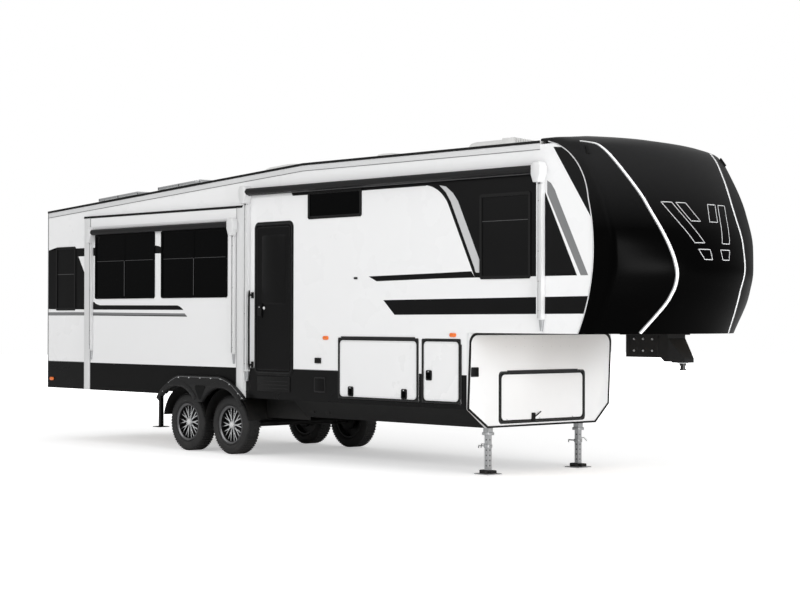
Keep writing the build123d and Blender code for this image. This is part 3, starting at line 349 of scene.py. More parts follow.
def grain_group():
    """A fine height for the bump and a slow mottling."""
    group, given, end = new_group("surface_grain", [("Scale", "Float", 60.0), ("Stretch", "Vector", (1, 1, 1))],
                                  [("Height", "Float"), ("Mottle", "Float")])
    place = add_node(group, "ShaderNodeTexCoord").outputs["Object"]
    spread = add_node(group, "ShaderNodeVectorMath", {0: place, 1: given["Stretch"]}, operation="MULTIPLY")
    fine = add_node(group, "ShaderNodeTexNoise", {"Vector": spread.outputs[0], "Scale": given["Scale"],
                    "Detail": 3.0, "Roughness": 0.55})
    slow = add_node(group, "ShaderNodeTexNoise", {"Vector": place, "Scale": 2.0, "Detail": 4.0})
    group.links.new(fine.outputs["Fac"], end.inputs["Height"])
    group.links.new(slow.outputs["Fac"], end.inputs["Mottle"])
    return group


def dust_group():
    """Patches of road dust that fade out with height."""
    group, given, end = new_group("road_dust", [
        ("Color", "Color", (0.8, 0.8, 0.8, 1)), ("Dust", "Color", (0.35, 0.32, 0.28, 1)),
        ("Low", "Float", 0.3), ("High", "Float", 1.2), ("Amount", "Float", 0.3)],
        [("Color", "Color"), ("Mask", "Float")])
    place = add_node(group, "ShaderNodeTexCoord").outputs["Object"]
    split = add_node(group, "ShaderNodeSeparateXYZ", {0: place})
    fade = add_node(group, "ShaderNodeMapRange", {"Value": split.outputs["Z"], "From Min": given["High"],
                    "From Max": given["Low"], "To Min": 0.0, "To Max": 1.0})
    spots = add_node(group, "ShaderNodeTexNoise", {"Vector": place, "Scale": 9.0, "Detail": 6.0, "Roughness": 0.65})
    patch = add_node(group, "ShaderNodeMapRange", {"Value": spots.outputs["Fac"], "From Min": 0.35, "From Max": 0.75})
    mask = maths(group, "MULTIPLY", maths(group, "MULTIPLY", fade.outputs[0], patch.outputs[0]), given["Amount"])
    mix = add_node(group, "ShaderNodeMix", {"Factor": mask, "A": given["Color"], "B": given["Dust"]},
                   data_type="RGBA")
    group.links.new(mix.outputs["Result"], end.inputs["Color"])
    group.links.new(mask, end.inputs["Mask"])
    return group


def beyond_group():
    """A mask that rises to 1 where the place, measured along an axis from the middle, passes a level."""
    group, given, end = new_group("beyond_level", [
        ("Axis", "Vector", (0, 0, 1)), ("Level", "Float", 1.0), ("Width", "Float", 0.0001)], [("Mask", "Float")])
    place = add_node(group, "ShaderNodeTexCoord").outputs["Object"]
    size = add_node(group, "ShaderNodeVectorMath", {0: place}, operation="ABSOLUTE")
    along = add_node(group, "ShaderNodeVectorMath", {0: size.outputs[0], 1: given["Axis"]}, operation="DOT_PRODUCT")
    mask = add_node(group, "ShaderNodeMapRange", {"Value": along.outputs["Value"], "From Min": given["Level"],
                    "From Max": maths(group, "ADD", given["Level"], given["Width"])})
    group.links.new(mask.outputs[0], end.inputs["Mask"])
    return group


GRAIN = grain_group()
DUST = dust_group()
BEYOND = beyond_group()
print("groups:", GRAIN.name, DUST.name, BEYOND.name)


# %% [markdown]
# ## A finish in one call
# Each finish below is a Principled shader with its own constants. Mottling shifts the colour and the
# roughness a little, the grain gives a bump, and dust lies on what is near the road.

# %% Material maker
COAT_ROUGHNESS, GRAIN_DEPTH = 0.08, 0.002


def finish_of(name, color, roughness, metallic=0.0, grain=60.0, bump=0.02, stretch=(1, 1, 1), mottle=0.06,
              dust=0.0, dust_to=1.2, coat=0.0, specular=0.5, shift=0.08, beyond=None):
    """A material; beyond is (axis, level, other colour, width of the change if not sharp)."""
    material = bpy.data.materials.new(name)
    material.use_nodes = True
    tree = material.node_tree
    shader = tree.nodes["Principled BSDF"]
    for label, value in {"Metallic": metallic, "Coat Weight": coat, "Coat Roughness": COAT_ROUGHNESS,
                         "Specular IOR Level": specular}.items():
        shader.inputs[label].default_value = value
    texture = add_node(tree, "ShaderNodeGroup", {"Scale": grain, "Stretch": stretch}, node_tree=GRAIN)
    tone = add_node(tree, "ShaderNodeMix", {
        "Factor": texture.outputs["Mottle"], "A": [c * (1 - mottle) for c in color] + [1],
        "B": [min(c * (1 + mottle), 1.0) for c in color] + [1]}, data_type="RGBA")
    if beyond:
        mask = add_node(tree, "ShaderNodeGroup", dict(zip(("Axis", "Level"), beyond)), node_tree=BEYOND)
        mask.inputs["Width"].default_value = beyond[3] if len(beyond) == 4 else 0.0001
        tone = add_node(tree, "ShaderNodeMix", {"Factor": mask.outputs["Mask"], "A": tone.outputs["Result"],
                        "B": (*beyond[2], 1)}, data_type="RGBA")
    dirt = add_node(tree, "ShaderNodeGroup", {"Color": tone.outputs["Result"], "Amount": dust, "High": dust_to,
                    "Low": 0.0}, node_tree=DUST)
    tree.links.new(dirt.outputs["Color"], shader.inputs["Base Color"])
    gloss = add_node(tree, "ShaderNodeMapRange", {"Value": texture.outputs["Mottle"], "To Min": roughness - shift / 2,
                     "To Max": roughness + shift / 2})
    tree.links.new(maths(tree, "ADD", gloss.outputs[0], dirt.outputs["Mask"]), shader.inputs["Roughness"])
    relief = add_node(tree, "ShaderNodeBump", {"Strength": bump, "Distance": GRAIN_DEPTH,
                      "Height": texture.outputs["Height"]})
    tree.links.new(relief.outputs["Normal"], shader.inputs["Normal"])
    return material


SHELL_WHITE, FRONT_GREY, BLACK = (0.86, 0.862, 0.865), (0.76, 0.765, 0.77), (0.0035, 0.0035, 0.0036)
PAINTED = {"grain": 7.0, "bump": 0.004, "mottle": 0.0}
MOULDED = {"grain": 180.0, "bump": 0.05, "mottle": 0.015}
WHITE = finish_of("gel_coat_white", SHELL_WHITE, 0.26, grain=7.0, bump=0.015, mottle=0.008, dust=0.02,
                  dust_to=1.3, coat=0.15, specular=0.4)
FRONT_WHITE = finish_of("moulded_pale_grey", FRONT_GREY, 0.34, dust=0.1, **MOULDED)
# The cap's base colour grows lighter from 2.75 m upwards over 1.15 m: a painted sheen that stands for the sky's
# reflection on the cap's upper slope.
CAP_BLACK_TOP_SHEEN = finish_of("cap_black_painted_top_sheen", (0.0006, 0.0006, 0.0006), 0.3, grain=3.0, bump=0.02, mottle=0.2, coat=0.0,
                      specular=0.02, shift=0.06, beyond=((0, 0, 1), 2.75, (0.022, 0.022, 0.0225), 1.15))
WALL_PAINT = finish_of("wall_skirt_and_white", BLACK, 0.28, dust_to=1.1, specular=0.12,
                       beyond=((0, 0, 1), SKIRT_TOP + 0.0003, SHELL_WHITE), **PAINTED)
LEAF_PAINT = finish_of("door_leaf_and_gasket", SHELL_WHITE, 0.28, specular=0.4,
                       beyond=((0, 1, 0), SIDE_FACE + 0.0004, BLACK), **PAINTED)
HATCH_PAINT = finish_of("hatch_leaf_and_gasket", FRONT_GREY, 0.34, dust=0.08,
                        beyond=((1, 0, 0), LOWER_FRONT_X + 0.0004, BLACK), **MOULDED)
SKIRT_BLACK = finish_of("skirt_black", BLACK, 0.42, grain=160.0, bump=0.04, dust=0.01, specular=0.09)
VINYL_BLACK = finish_of("vinyl_black", (0.0035, 0.0035, 0.0037), 0.34, grain=90.0, bump=0.01, specular=0.1)
VINYL_GREY = finish_of("vinyl_silver_grey", (0.19, 0.193, 0.196), 0.32, grain=200.0, bump=0.02, specular=0.4)
VINYL_PALE = finish_of("vinyl_pale_silver", (0.55, 0.555, 0.56), 0.3, grain=220.0, bump=0.02)
VINYL_WHITE = finish_of("vinyl_white", (0.85, 0.855, 0.86), 0.3, grain=90.0, bump=0.01, mottle=0.01)
TRIM_BLACK = finish_of("trim_black", (0.005, 0.005, 0.005), 0.44, grain=240.0, bump=0.05, specular=0.16)
GLASS_DARK = finish_of("tinted_glass", (0.001, 0.0011, 0.0012), 0.06, grain=2.0, bump=0.004, mottle=0.15,
                       specular=0.06, shift=0.02)
ENAMEL = finish_of("white_enamel", (0.70, 0.703, 0.706), 0.3, grain=120.0, bump=0.02, mottle=0.015, coat=0.1)
CHASSIS_BLACK = finish_of("chassis_paint", (0.006, 0.006, 0.006), 0.5, grain=70.0, bump=0.12, dust=0.05, mottle=0.2,
                          specular=0.2)
ZINC = finish_of("zinc_plate", (0.52, 0.53, 0.54), 0.38, metallic=0.9, grain=40.0, bump=0.06, mottle=0.12, dust=0.12)
BRIGHT = finish_of("machined_alloy", (0.72, 0.73, 0.74), 0.22, metallic=1.0, grain=150.0, bump=0.03, dust=0.06)
DARK_ALLOY = finish_of("alloy_pocket", (0.012, 0.012, 0.0125), 0.4, metallic=0.4, grain=120.0, bump=0.05, dust=0.03)
LIP_ALLOY = finish_of("alloy_lip", (0.16, 0.16, 0.165), 0.3, metallic=1.0, grain=120.0, bump=0.03, dust=0.04)
FAINT_BAR = finish_of("glass_bar", (0.06, 0.06, 0.062), 0.35, grain=200.0, bump=0.02)
PIN_STEEL = finish_of("greased_steel", (0.02, 0.02, 0.02), 0.3, metallic=0.6, grain=40.0, bump=0.06, dust=0.02)
RUBBER = finish_of("tyre_rubber", (0.016, 0.016, 0.0163), 0.62, grain=160.0, bump=0.15, dust=0.05, dust_to=0.9,
                   specular=0.35)
MEMBRANE = finish_of("roof_membrane", (0.74, 0.74, 0.73), 0.62, grain=110.0, bump=0.12, mottle=0.04)
ROOF_PLASTIC = finish_of("roof_plastic", (0.78, 0.78, 0.77), 0.45, grain=130.0, bump=0.08, mottle=0.03)
ROLLED = finish_of("rolled_awning", (0.008, 0.008, 0.0083), 0.5, specular=0.2, grain=420.0, bump=0.12,
                   stretch=(0.2, 1, 1))
PLY = finish_of("floor_ply", (0.36, 0.27, 0.18), 0.6, grain=30.0, bump=0.06, stretch=(0.1, 1, 1), mottle=0.18)
RED_LENS = finish_of("red_lens", (0.45, 0.012, 0.01), 0.14, grain=90.0, bump=0.06, coat=0.5)
AMBER_LENS = finish_of("amber_lens", (0.85, 0.17, 0.015), 0.16, grain=90.0, bump=0.06, coat=0.5)
CELL = finish_of("solar_cell", (0.42, 0.43, 0.45), 0.2, grain=60.0, bump=0.02, mottle=0.08)
FENDER_GREY = finish_of("fender_plastic", (0.009, 0.009, 0.0093), 0.42, grain=220.0, bump=0.08, dust=0.02,
                        specular=0.22)

# %% Finishes on the solids that stay
SOLID_FINISH = {
    WALL_PAINT: ["wall_right", "wall_left", "wall_rear"], WHITE: ["slide_right_room", "slide_left_room"],
    FRONT_WHITE: ["lower_front"], CAP_BLACK_TOP_SHEEN: ["front_cap"], MEMBRANE: ["roof"],
    SKIRT_BLACK: ["slide_right_skirt", "slide_left_skirt", "belly_pan"],
    CHASSIS_BLACK: ["chassis_rails", "belly_beams", "front_uprights", "cross_members", "floor_outriggers", "axle_front",
                    "axle_rear", "suspension", "pin_box", "bumper", "rear_jacks"],
    PIN_STEEL: ["kingpin"], ZINC: ["landing_legs", "ladder_rails", "ladder_treads"], PLY: ["floor_main", "deck_upper"],
    TRIM_BLACK: ["door_frame", "grab_handle", "window_frames"], VINYL_BLACK: ["entry_door"],
    GLASS_DARK: ["window_glass", "slide_right_windows", "slide_left_windows"],
    ENAMEL: ["awning_arms", "slide_right_awning", "slide_left_awning"], ROLLED: ["awning_roller"],
    ROOF_PLASTIC: ["air_conditioners", "roof_vents"], CELL: ["solar_panels"], RED_LENS: ["rear_lamps"],
}
for name in nodes:
    if name.startswith("tyre_"):
        SOLID_FINISH.setdefault(RUBBER, []).append(name)
    elif name.startswith("rim_"):
        SOLID_FINISH.setdefault(BRIGHT, []).append(name)
    elif name.startswith("storage_door") or name == "front_hatch":
        SOLID_FINISH.setdefault(HATCH_PAINT if name == "front_hatch" else LEAF_PAINT, []).append(name)
for material, names in SOLID_FINISH.items():
    for name in names:
        paint(nodes[name], material)
print("finished solids:", sum(len(names) for names in SOLID_FINISH.values()), "of", len(nodes))

# %% [markdown]
# ## Shapes between rings
# The cap, the cooler shrouds and the strips pressed on curved skin are all rows of points joined by
# faces. One loft routine and one smooth curve routine serve them all. A second routine lays a flat
# piece on both sides at once, since the far side repeats the near one.

# %% Lofts and side pieces
HAND = {RIGHT: "right", LEFT: "left"}


def loft(name, rings, closed=False):
    """Faces between rings of points; the ends are filled unless the rings close on themselves."""
    shape = bmesh.new()
    grid = [[shape.verts.new(p) for p in ring] for ring in rings]
    for here, there in zip(grid, grid[1:] + grid[:1] if closed else grid[1:]):
        for j in range(len(here)):
            k = (j + 1) % len(here)
            shape.faces.new((here[j], there[j], there[k], here[k]))
    if not closed:
        shape.faces.new(grid[0])
        shape.faces.new(grid[-1][::-1])
    return link(name, mesh_of(name, shape))


def curve_through(points, per=8):
    """Points along a smooth curve through the given ones."""
    points = [Vector(p) for p in points]
    line = []
    for i in range(len(points) - 1):
        a, b, c = points[max(i - 1, 0)], points[i], points[i + 1]
        d = points[min(i + 2, len(points) - 1)]
        for k in range(per):
            t = k / per
            line.append(b + 0.5 * t * (c - a + t * (2 * a - 5 * b + 4 * c - d + t * (3 * (b - c) + d - a))))
    return line + [points[-1]]


def arc(centre, radius, start, end, steps):
    """Points of a flat arc, its angles in degrees."""
    turns = [math.radians(start + (end - start) * k / steps) for k in range(steps + 1)]
    return [(centre[0] + radius * math.cos(t), centre[1] + radius * math.sin(t)) for t in turns]


def lay(name, outline, material, sides=(RIGHT, LEFT), face=SIDE_FACE, depth=VINYL, body="body", ease=0.0, holes=()):
    """One flat piece on each side, drawn as (station, Z)."""
    for side in sides:
        loops = [[(at(s), z) for s, z in loop] for loop in (outline, *holes)]
        piece = sheet(f"{name}_{HAND[side]}", loops, depth, side_place(side, face, depth), ease)
        fit(piece, material, body.format(HAND[side]))


print("sides:", HAND)

# %% [markdown]
# ## The front cap
# The cap is a single moulding, and its highlights show every kink, so the ruled solid will not do for
# the picture. Subdividing it would shrink it away from the walls. Instead its level sections are
# interpolated again, with a monotone cubic that never swells past the given sections, and the rear
# edge follows the same two arcs as the wall it meets.

# %% Cap sections
NOSE_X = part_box("front_cap")[1][0]
CAP_BACK = station_of(NOSE_X) - 1.495
CAP_TABLE = (       # height, then the corner and the nose behind the foremost point, insets and bend
    (1.640, 0.790, 0.304, 0.000, 0.000, 0.120), (2.080, 0.570, 0.073, 0.000, 0.000, 0.120),
    (2.330, 0.525, 0.000, 0.000, 0.000, 0.140), (2.600, 0.515, 0.060, 0.000, 0.000, 0.120),
    (3.000, 0.605, 0.265, 0.000, 0.000, 0.100), (3.540, 0.880, 0.585, 0.000, 0.000, 0.090),
    (3.680, 0.990, 0.720, 0.000, 0.029, 0.090), (3.770, 1.170, 0.880, 0.015, 0.159, 0.090),
    (3.825, 1.370, 1.150, 0.480, 0.519, 0.090))
CAP_Z, CAP_COLUMNS = [row[0] for row in CAP_TABLE], list(zip(*CAP_TABLE))[1:]
EDGE_ARCS = (((-1.495, 3.750), (-0.968, 3.505), (-0.788, 3.095)), ((-0.788, 3.095), (-0.715, 2.560), (-0.936, 1.640)))
LEVELS = sorted(set([1.64 + 0.055 * i for i in range(38)] + [3.7, 3.715, 3.73, 3.738, 3.744, 3.748, 3.75, 3.757,
                     3.77, 3.78, 3.79, 3.8, 3.808, 3.815, 3.821, 3.825]))
SIDE_STEPS, CORNER_STEPS, NOSE_STEPS = 6, 10, 14


def eased(xs, ys, x):
    """Monotone cubic interpolation: smooth, and never past the given values."""
    slopes = [(y1 - y0) / (x1 - x0) for x0, x1, y0, y1 in zip(xs, xs[1:], ys, ys[1:])]
    inner = [0.0 if a * b <= 0 else 2 * a * b / (a + b) for a, b in zip(slopes, slopes[1:])]
    tangents = [slopes[0]] + inner + [slopes[-1]]
    i = max(k for k in range(len(xs) - 1) if xs[k] <= x + 1e-9)
    h = xs[i + 1] - xs[i]
    t = (x - xs[i]) / h
    return (ys[i] * (2 * t ** 3 - 3 * t ** 2 + 1) + h * tangents[i] * (t ** 3 - 2 * t ** 2 + t)
            + ys[i + 1] * (3 * t ** 2 - 2 * t ** 3) + h * tangents[i + 1] * (t ** 3 - t ** 2))


def circle_through(a, b, c):
    """Centre and radius of the circle through three points."""
    d = 2 * (a[0] * (b[1] - c[1]) + b[0] * (c[1] - a[1]) + c[0] * (a[1] - b[1]))
    squares = [p[0] ** 2 + p[1] ** 2 for p in (a, b, c)]
    u = (squares[0] * (b[1] - c[1]) + squares[1] * (c[1] - a[1]) + squares[2] * (a[1] - b[1])) / d
    v = (squares[0] * (c[0] - b[0]) + squares[1] * (a[0] - c[0]) + squares[2] * (b[0] - a[0])) / d
    return u, v, math.hypot(a[0] - u, a[1] - v)


def cap_edge(z):
    """X of the cap's rear edge at a height."""
    if z >= ROOF_TOP:
        return at(CAP_BACK)
    u, v, r = circle_through(*EDGE_ARCS[0 if z > EDGE_ARCS[1][0][1] else 1])
    return NOSE_X + u + math.sqrt(max(r ** 2 - (z - v) ** 2, 0.0))


def cap_half(z):
    """Half of a level section as (X, distance from the middle): side, round corner, bowed nose."""
    corner, nose, rear, inset, bend = (eased(CAP_Z, column, z) for column in CAP_COLUMNS)
    corner_x, nose_x, half, rear_half = NOSE_X - corner, NOSE_X - nose, SIDE_FACE - inset, SIDE_FACE - rear
    start, flank = cap_edge(z), (at(CAP_BACK) + corner_x) / 2
    points = []
    for k in range(SIDE_STEPS):
        x = start + (corner_x - start) * k / SIDE_STEPS
        blend = max(x - flank, 0.0) / (corner_x - flank)
        points.append((x, rear_half + (half - rear_half) * blend))
    bow, width = nose_x - corner_x, half - bend
    nose_r = (bow ** 2 + width ** 2 - bend ** 2) / (2 * (bow - bend))
    turn = math.asin(width / (nose_r - bend))
    points += arc((corner_x, width), bend, 90, math.degrees(turn), CORNER_STEPS)
    centre = nose_x - nose_r
    reach = math.degrees(math.atan2(points[-1][1], points[-1][0] - centre))
    return points + arc((centre, 0), nose_r, reach, 0, NOSE_STEPS)[1:]


def cap_skin():
    shape = bmesh.new()
    grid = []
    for z in LEVELS:
        half = cap_half(z)
        row = [(x, -y) for x, y in half] + half[-2::-1]
        grid.append([shape.verts.new((x, y, z)) for x, y in row])
    for here, there in zip(grid, grid[1:]):
        for j in range(len(here) - 1):
            shape.faces.new((here[j], here[j + 1], there[j + 1], there[j]))
    shape.faces.new(grid[-1])
    above = [row for row, z in zip(grid, LEVELS) if z >= ROOF_TOP]
    shape.faces.new([row[0] for row in above] + [row[-1] for row in above[::-1]])
    bmesh.ops.recalc_face_normals(shape, faces=shape.faces)
    shape.faces.ensure_lookup_table()
    if shape.faces[len(grid[0]) // 2].normal.x < 0:
        bmesh.ops.reverse_faces(shape, faces=shape.faces)
    return mesh_of("cap_skin", shape, outward=False)


skin = cap_skin()
CAP_TREE = BVHTree.FromPolygons([v.co for v in skin.vertices], [p.vertices for p in skin.polygons])
blank = link("cap_blank", skin)
shell = blank.modifiers.new("shell", "SOLIDIFY")
shell.thickness = 0.025
shell.offset = -1.0
cap = link("cap", plain_mesh(blank))
bpy.data.objects.remove(blank)
# The cap's material carries the painted sheen towards its top.
fit(cap, CAP_BLACK_TOP_SHEEN, stands_for=["front_cap"])
print("cap faces:", len(cap.data.polygons))

# %% [markdown]
# ## Graphics pressed on the cap
# Two pale lines run from the roof round the nose and down, with an angular motif between them. They
# are strips that follow the moulding: each point is dropped on the skin, the strip turned square to
# the skin's normal. A flat decal or a texture would not give this crisp edge on such a curve.

# %% Strips on the cap
STRIPE = ((10.596, 1.150, 3.771), (10.649, 1.070, 3.744), (10.705, 0.995, 3.717), (10.792, 0.940, 3.601),
          (10.888, 0.895, 3.484), (11.013, 0.830, 3.300), (11.137, 0.765, 3.117), (11.221, 0.730, 2.968),
          (11.305, 0.695, 2.819), (11.368, 0.665, 2.690), (11.423, 0.632, 2.561), (11.453, 0.603, 2.433),
          (11.476, 0.582, 2.306), (11.470, 0.574, 2.215), (11.455, 0.577, 2.123), (11.425, 0.592, 2.050),
          (11.370, 0.615, 1.960), (11.240, 0.680, 1.812), (11.111, 0.760, 1.646))
MOTIF = (((0.40, 3.06), (0.55, 3.06), (0.30, 2.62), (0.15, 2.62)),
         ((0.19, 3.06), (0.34, 3.06), (0.23, 2.86), (0.08, 2.86)),
         ((0.09, 2.55), (0.27, 2.55), (0.21, 2.44), (0.09, 2.44)))


def pressed(name, line, width, material, shift=0.0, lift=0.0014, cyclic=False):
    """A strip that lies on the cap along a line."""
    rings = []
    count = len(line)
    for i, point in enumerate(line):
        before = line[i - 1] if cyclic or i else line[0]
        ahead = line[(i + 1) % count] if cyclic or i < count - 1 else line[-1]
        spot, normal = CAP_TREE.find_nearest(point)[:2]
        across = normal.cross(ahead - before).normalized()
        spots = [CAP_TREE.find_nearest(spot + across * (shift + k * width))[:2] for k in (-0.5, 0, 0.5)]
        rings.append([p + n * lift for p, n in spots] + [spots[2][0] - spots[2][1] * 0.002,
                                                        spots[0][0] - spots[0][1] * 0.002])
    return fit(loft(name, rings, closed=cyclic), material)


def on_nose(y, z):
    return CAP_TREE.ray_cast(Vector((NOSE_X + 1.0, y, z)), Vector((-1, 0, 0)))[0]


for side in (RIGHT, LEFT):
    line = curve_through([(at(s), side * y, z) for s, y, z in STRIPE], 6)
    pressed(f"cap_stripe_{HAND[side]}", line, 0.030, VINYL_WHITE)
    pressed(f"cap_shade_{HAND[side]}", line, 0.012, VINYL_GREY, shift=side * 0.023)
    for i, corners in enumerate(MOTIF):
        loop = []
        for (y0, z0), (y1, z1) in zip(corners, corners[1:] + corners[:1]):
            loop += [on_nose(side * (y0 + (y1 - y0) * k / 8), z0 + (z1 - z0) * k / 8) for k in range(8)]
        pressed(f"cap_motif_{i}_{HAND[side]}", loop, 0.009, VINYL_PALE, cyclic=True)
print("cap strips:", sum(name.startswith("cap_") for name in made))

# %% Cap lights and the pale piping at its rear edge
for side in (RIGHT, LEFT):
    spot, normal = CAP_TREE.find_nearest(Vector((at(10.714), side * 1.16, 3.604)))[:2]
    lens = blocks("cap_light_" + HAND[side], [((-0.055, -0.02, -0.004), (0.055, 0.02, 0.018))], 0.008)
    facing_out = normal.to_track_quat("Z", "X").to_matrix().to_4x4()
    lens.data.transform(Matrix.Translation(spot) @ facing_out)
    fit(lens, TRIM_BLACK)
    heights = [1.645 + (3.735 - 1.645) * k / 60 for k in range(61)]
    line = [(cap_edge(z) - 0.004, side * (SIDE_FACE + 0.0015), z) for z in heights]
    fit(tube("cap_piping_" + HAND[side], line, 0.006, 2), VINYL_PALE)
print("piping from", heights[0], "to", heights[-1])

# %% [markdown]
# ## Side graphics
# The stripes are cut vinyl: black fields that run through the windows, a silver sweep, and double lines
# at mid height. Each is drawn as stations and heights on the wall and laid on both sides. A painted
# texture would blur at the edges. The slide-out rooms stand proud, so their share of a stripe is laid
# on their own panel and travels with it.

# %% Fields and stripes on the walls
HEADER_Z, FIELD_Z = 3.357, 2.267
SWEEP = curve_through([(8.263, 3.357), (8.374, 3.328), (8.492, 3.267), (8.584, 3.181), (8.642, 3.092), (8.835, 2.715),
                       (9.028, 2.337), (9.064, 2.267)])
FIELD = [(5.747, 3.43), (5.790, HEADER_Z), *[tuple(p) for p in SWEEP], (10.619, FIELD_Z), (10.150, 3.188),
         (10.150, 3.43)]
SILVER = rounded([(8.483, 3.345, 0), (8.592, 3.256, 0), (8.675, 3.142, 0), (8.716, 3.060, 0), (9.060, 2.376, 0),
                  (9.078, 2.325, 0.02), (9.150, 2.318, 0.03), (9.161, 2.385, 0.02), (9.153, 2.442, 0), (8.987, 2.764, 0),
                  (8.790, 3.149, 0), (8.708, 3.244, 0), (8.592, 3.325, 0)], 3)
BAND = [(10.183, 3.169), (10.672, FIELD_Z), (10.778, FIELD_Z), (10.330, 3.130), (10.298, 3.199), (10.238, 3.278),
        (10.183, 3.310)]


def beside_cap(z, gap=0.012):
    """The station just behind the cap's rear edge."""
    return station_of(cap_edge(z)) - gap


WEDGE = [(10.272, 3.671), (10.815, 2.889)]
WEDGE += [(beside_cap(z), z) for z in (2.90, 3.0, 3.1, 3.2, 3.3, 3.4, 3.5, 3.6, 3.66)]
LOWER = [(7.513, 2.021), (7.713, 1.845), (beside_cap(1.845), 1.856), (beside_cap(2.045), 2.045)]
THIN = [(7.247, 2.309), (7.392, 2.248), (8.494, 2.265), (9.064, 2.267), (9.010, 2.340), (8.494, 2.329)]
REAR_FIELD = [(0.0, 1.931), (1.10, 1.925), (1.10, 2.30), (0.832, 2.701), (1.10, 2.701), (1.10, 2.82), (0.743, 2.82),
              (0.737, 2.848), (0.248, 2.848), (0.248, 2.812), (0.0, 2.806)]
lay("field", FIELD, VINYL_BLACK)
lay("silver_sweep", SILVER, VINYL_PALE, face=SIDE_FACE + VINYL)
lay("grey_band", BAND, VINYL_GREY)
lay("wedge", WEDGE, VINYL_BLACK)
lay("lower_stripe", LOWER, VINYL_BLACK)
lay("thin_stripe", THIN, VINYL_BLACK)
lay("rear_field", REAR_FIELD, VINYL_BLACK)
lay("rear_line", [(0.0, 1.837), (1.09, 1.837), (1.09, 1.885), (0.0, 1.885)], VINYL_GREY)
print("wall graphics:", len([name for name in made if "_right" in name]))

# %% Stripes on the slide-out rooms
ROOM = {"face": SLIDE_FACE, "body": "slide_{}"}
S0, S1 = station_of(SLIDE_LOW[0]), station_of(SLIDE_HIGH[0])
TIP = [tuple(p) for p in curve_through([(3.376, 1.974), (3.448, 1.952), (3.515, 1.912)])]
LEAD = [tuple(p) for p in curve_through([(1.478, 1.984), (1.374, 2.005), (1.332, 2.031)])]
lay("room_stripe", [(S0 + 0.16, 1.922), (3.515, 1.912), *TIP[::-1], *LEAD, (S0 + 0.16, 2.031)], VINYL_BLACK, **ROOM)
lay("room_line", [(S0 + 0.16, 1.837), (3.603, 1.822), (3.543, 1.865), (S0 + 0.16, 1.883)], VINYL_GREY, **ROOM)
lay("room_line_low", [(S0 + 0.16, 1.837), (3.603, 1.822), (3.585, 1.835), (S0 + 0.16, 1.850)], DARK_ALLOY,
    face=SLIDE_FACE + VINYL, body="slide_{}")
lay("room_bridge_rear", [(S0, 2.699), (1.40, 2.697), (1.40, 2.813), (S0, 2.816)], VINYL_BLACK, **ROOM)
BRIDGE = [(2.80, 2.694), (3.05, 2.691), (3.05, 2.735), (3.010, 2.762), (2.975, 2.782), (2.927, 2.795), (2.843, 2.805),
          (2.80, 2.806)]
lay("room_bridge", BRIDGE, VINYL_BLACK, **ROOM)
lay("room_top_seal", rectangle(S0 - 0.01, S1 - 0.02, 3.240, 3.272), TRIM_BLACK, face=SLIDE_FACE - 0.012, depth=0.016,
    body="slide_{}")
for end, (a, b) in {"rear": (S0, S0 + 0.158), "front": (S1 - 0.140, S1)}.items():
    lay("room_flange_" + end, rectangle(a, b, SKIRT_LOW + 0.002, 3.250, 0.004, 1), ENAMEL, depth=0.004, ease=0.0015,
        **ROOM)
    inner = b if end == "rear" else a
    lay("room_flange_line_" + end, rectangle(inner - 0.004, inner + 0.004, SKIRT_LOW + 0.002, 3.250), VINYL_GREY,
        depth=0.0046, **ROOM)
print("slide pieces done")

# %% [markdown]
# ## Seams and trim along the body
# A thin black rail covers the joint of roof and wall, with a pale fascia below it and a grey strip of
# painted shadow under the fascia. It is cheaper as flat strips than as a swept profile, since it bends only once.

# %% Roof rail, fascia and skirt lines
def roof_z(station, drop=0.0):
    return min(ROOF_REAR_Z + (ROOF_TOP - ROOF_REAR_Z) * station / ROOF_BREAK, ROOF_TOP) - drop


def along_roof(high, low):
    stops = [0.0, ROOF_BREAK - 0.25, ROOF_BREAK, ROOF_BREAK + 0.25, CAP_BACK]
    return [(s, roof_z(s, high)) for s in stops] + [(s, roof_z(s, low)) for s in stops[::-1]]


lay("roof_rail", along_roof(-0.003, 0.027), TRIM_BLACK, depth=0.009)
lay("fascia", along_roof(0.027, 0.092), ENAMEL, depth=0.001)
# A grey strip just under the fascia: painted shadow of its lower edge.
lay("fascia_shadow_line", along_roof(0.092, 0.100), VINYL_GREY, depth=0.005)
for end, start, stop in (("rear", 0.0, S0), ("front", S1 + 0.01, 5.026), ("mid", 5.81, 6.672)):
    lay("skirt_seam_" + end, rectangle(start, stop, 1.155, 1.162), VINYL_GREY, depth=0.003)
lay("rear_corner", rectangle(0.0, 0.018, SKIRT_LOW, ROOF_REAR_Z - 0.02), VINYL_GREY, depth=0.003)
lay("header_seal", rectangle(5.80, 8.26, HEADER_Z - 0.006, HEADER_Z), TRIM_BLACK, depth=0.003)
rear_rail = blocks("rear_rail", [about((REAR + 0.004, 0, ROOF_REAR_Z - 0.012), (0.016, SIDE_FACE, 0.015))], 0.004)
fit(rear_rail, TRIM_BLACK)
print("trim pieces:", len(made))

# %% [markdown]
# ## Windows
# The glass is nearly black, flush and frameless, broken only by thin bars. Each bar is a strip with a
# dull metal finish just proud of the glass.

# %% Window bars
def bar(name, s0, s1, z0, z1, sides=(RIGHT, LEFT), **where):
    lay(name, rectangle(s0, s1, z0, z1), FAINT_BAR, sides, depth=0.0025, **where)


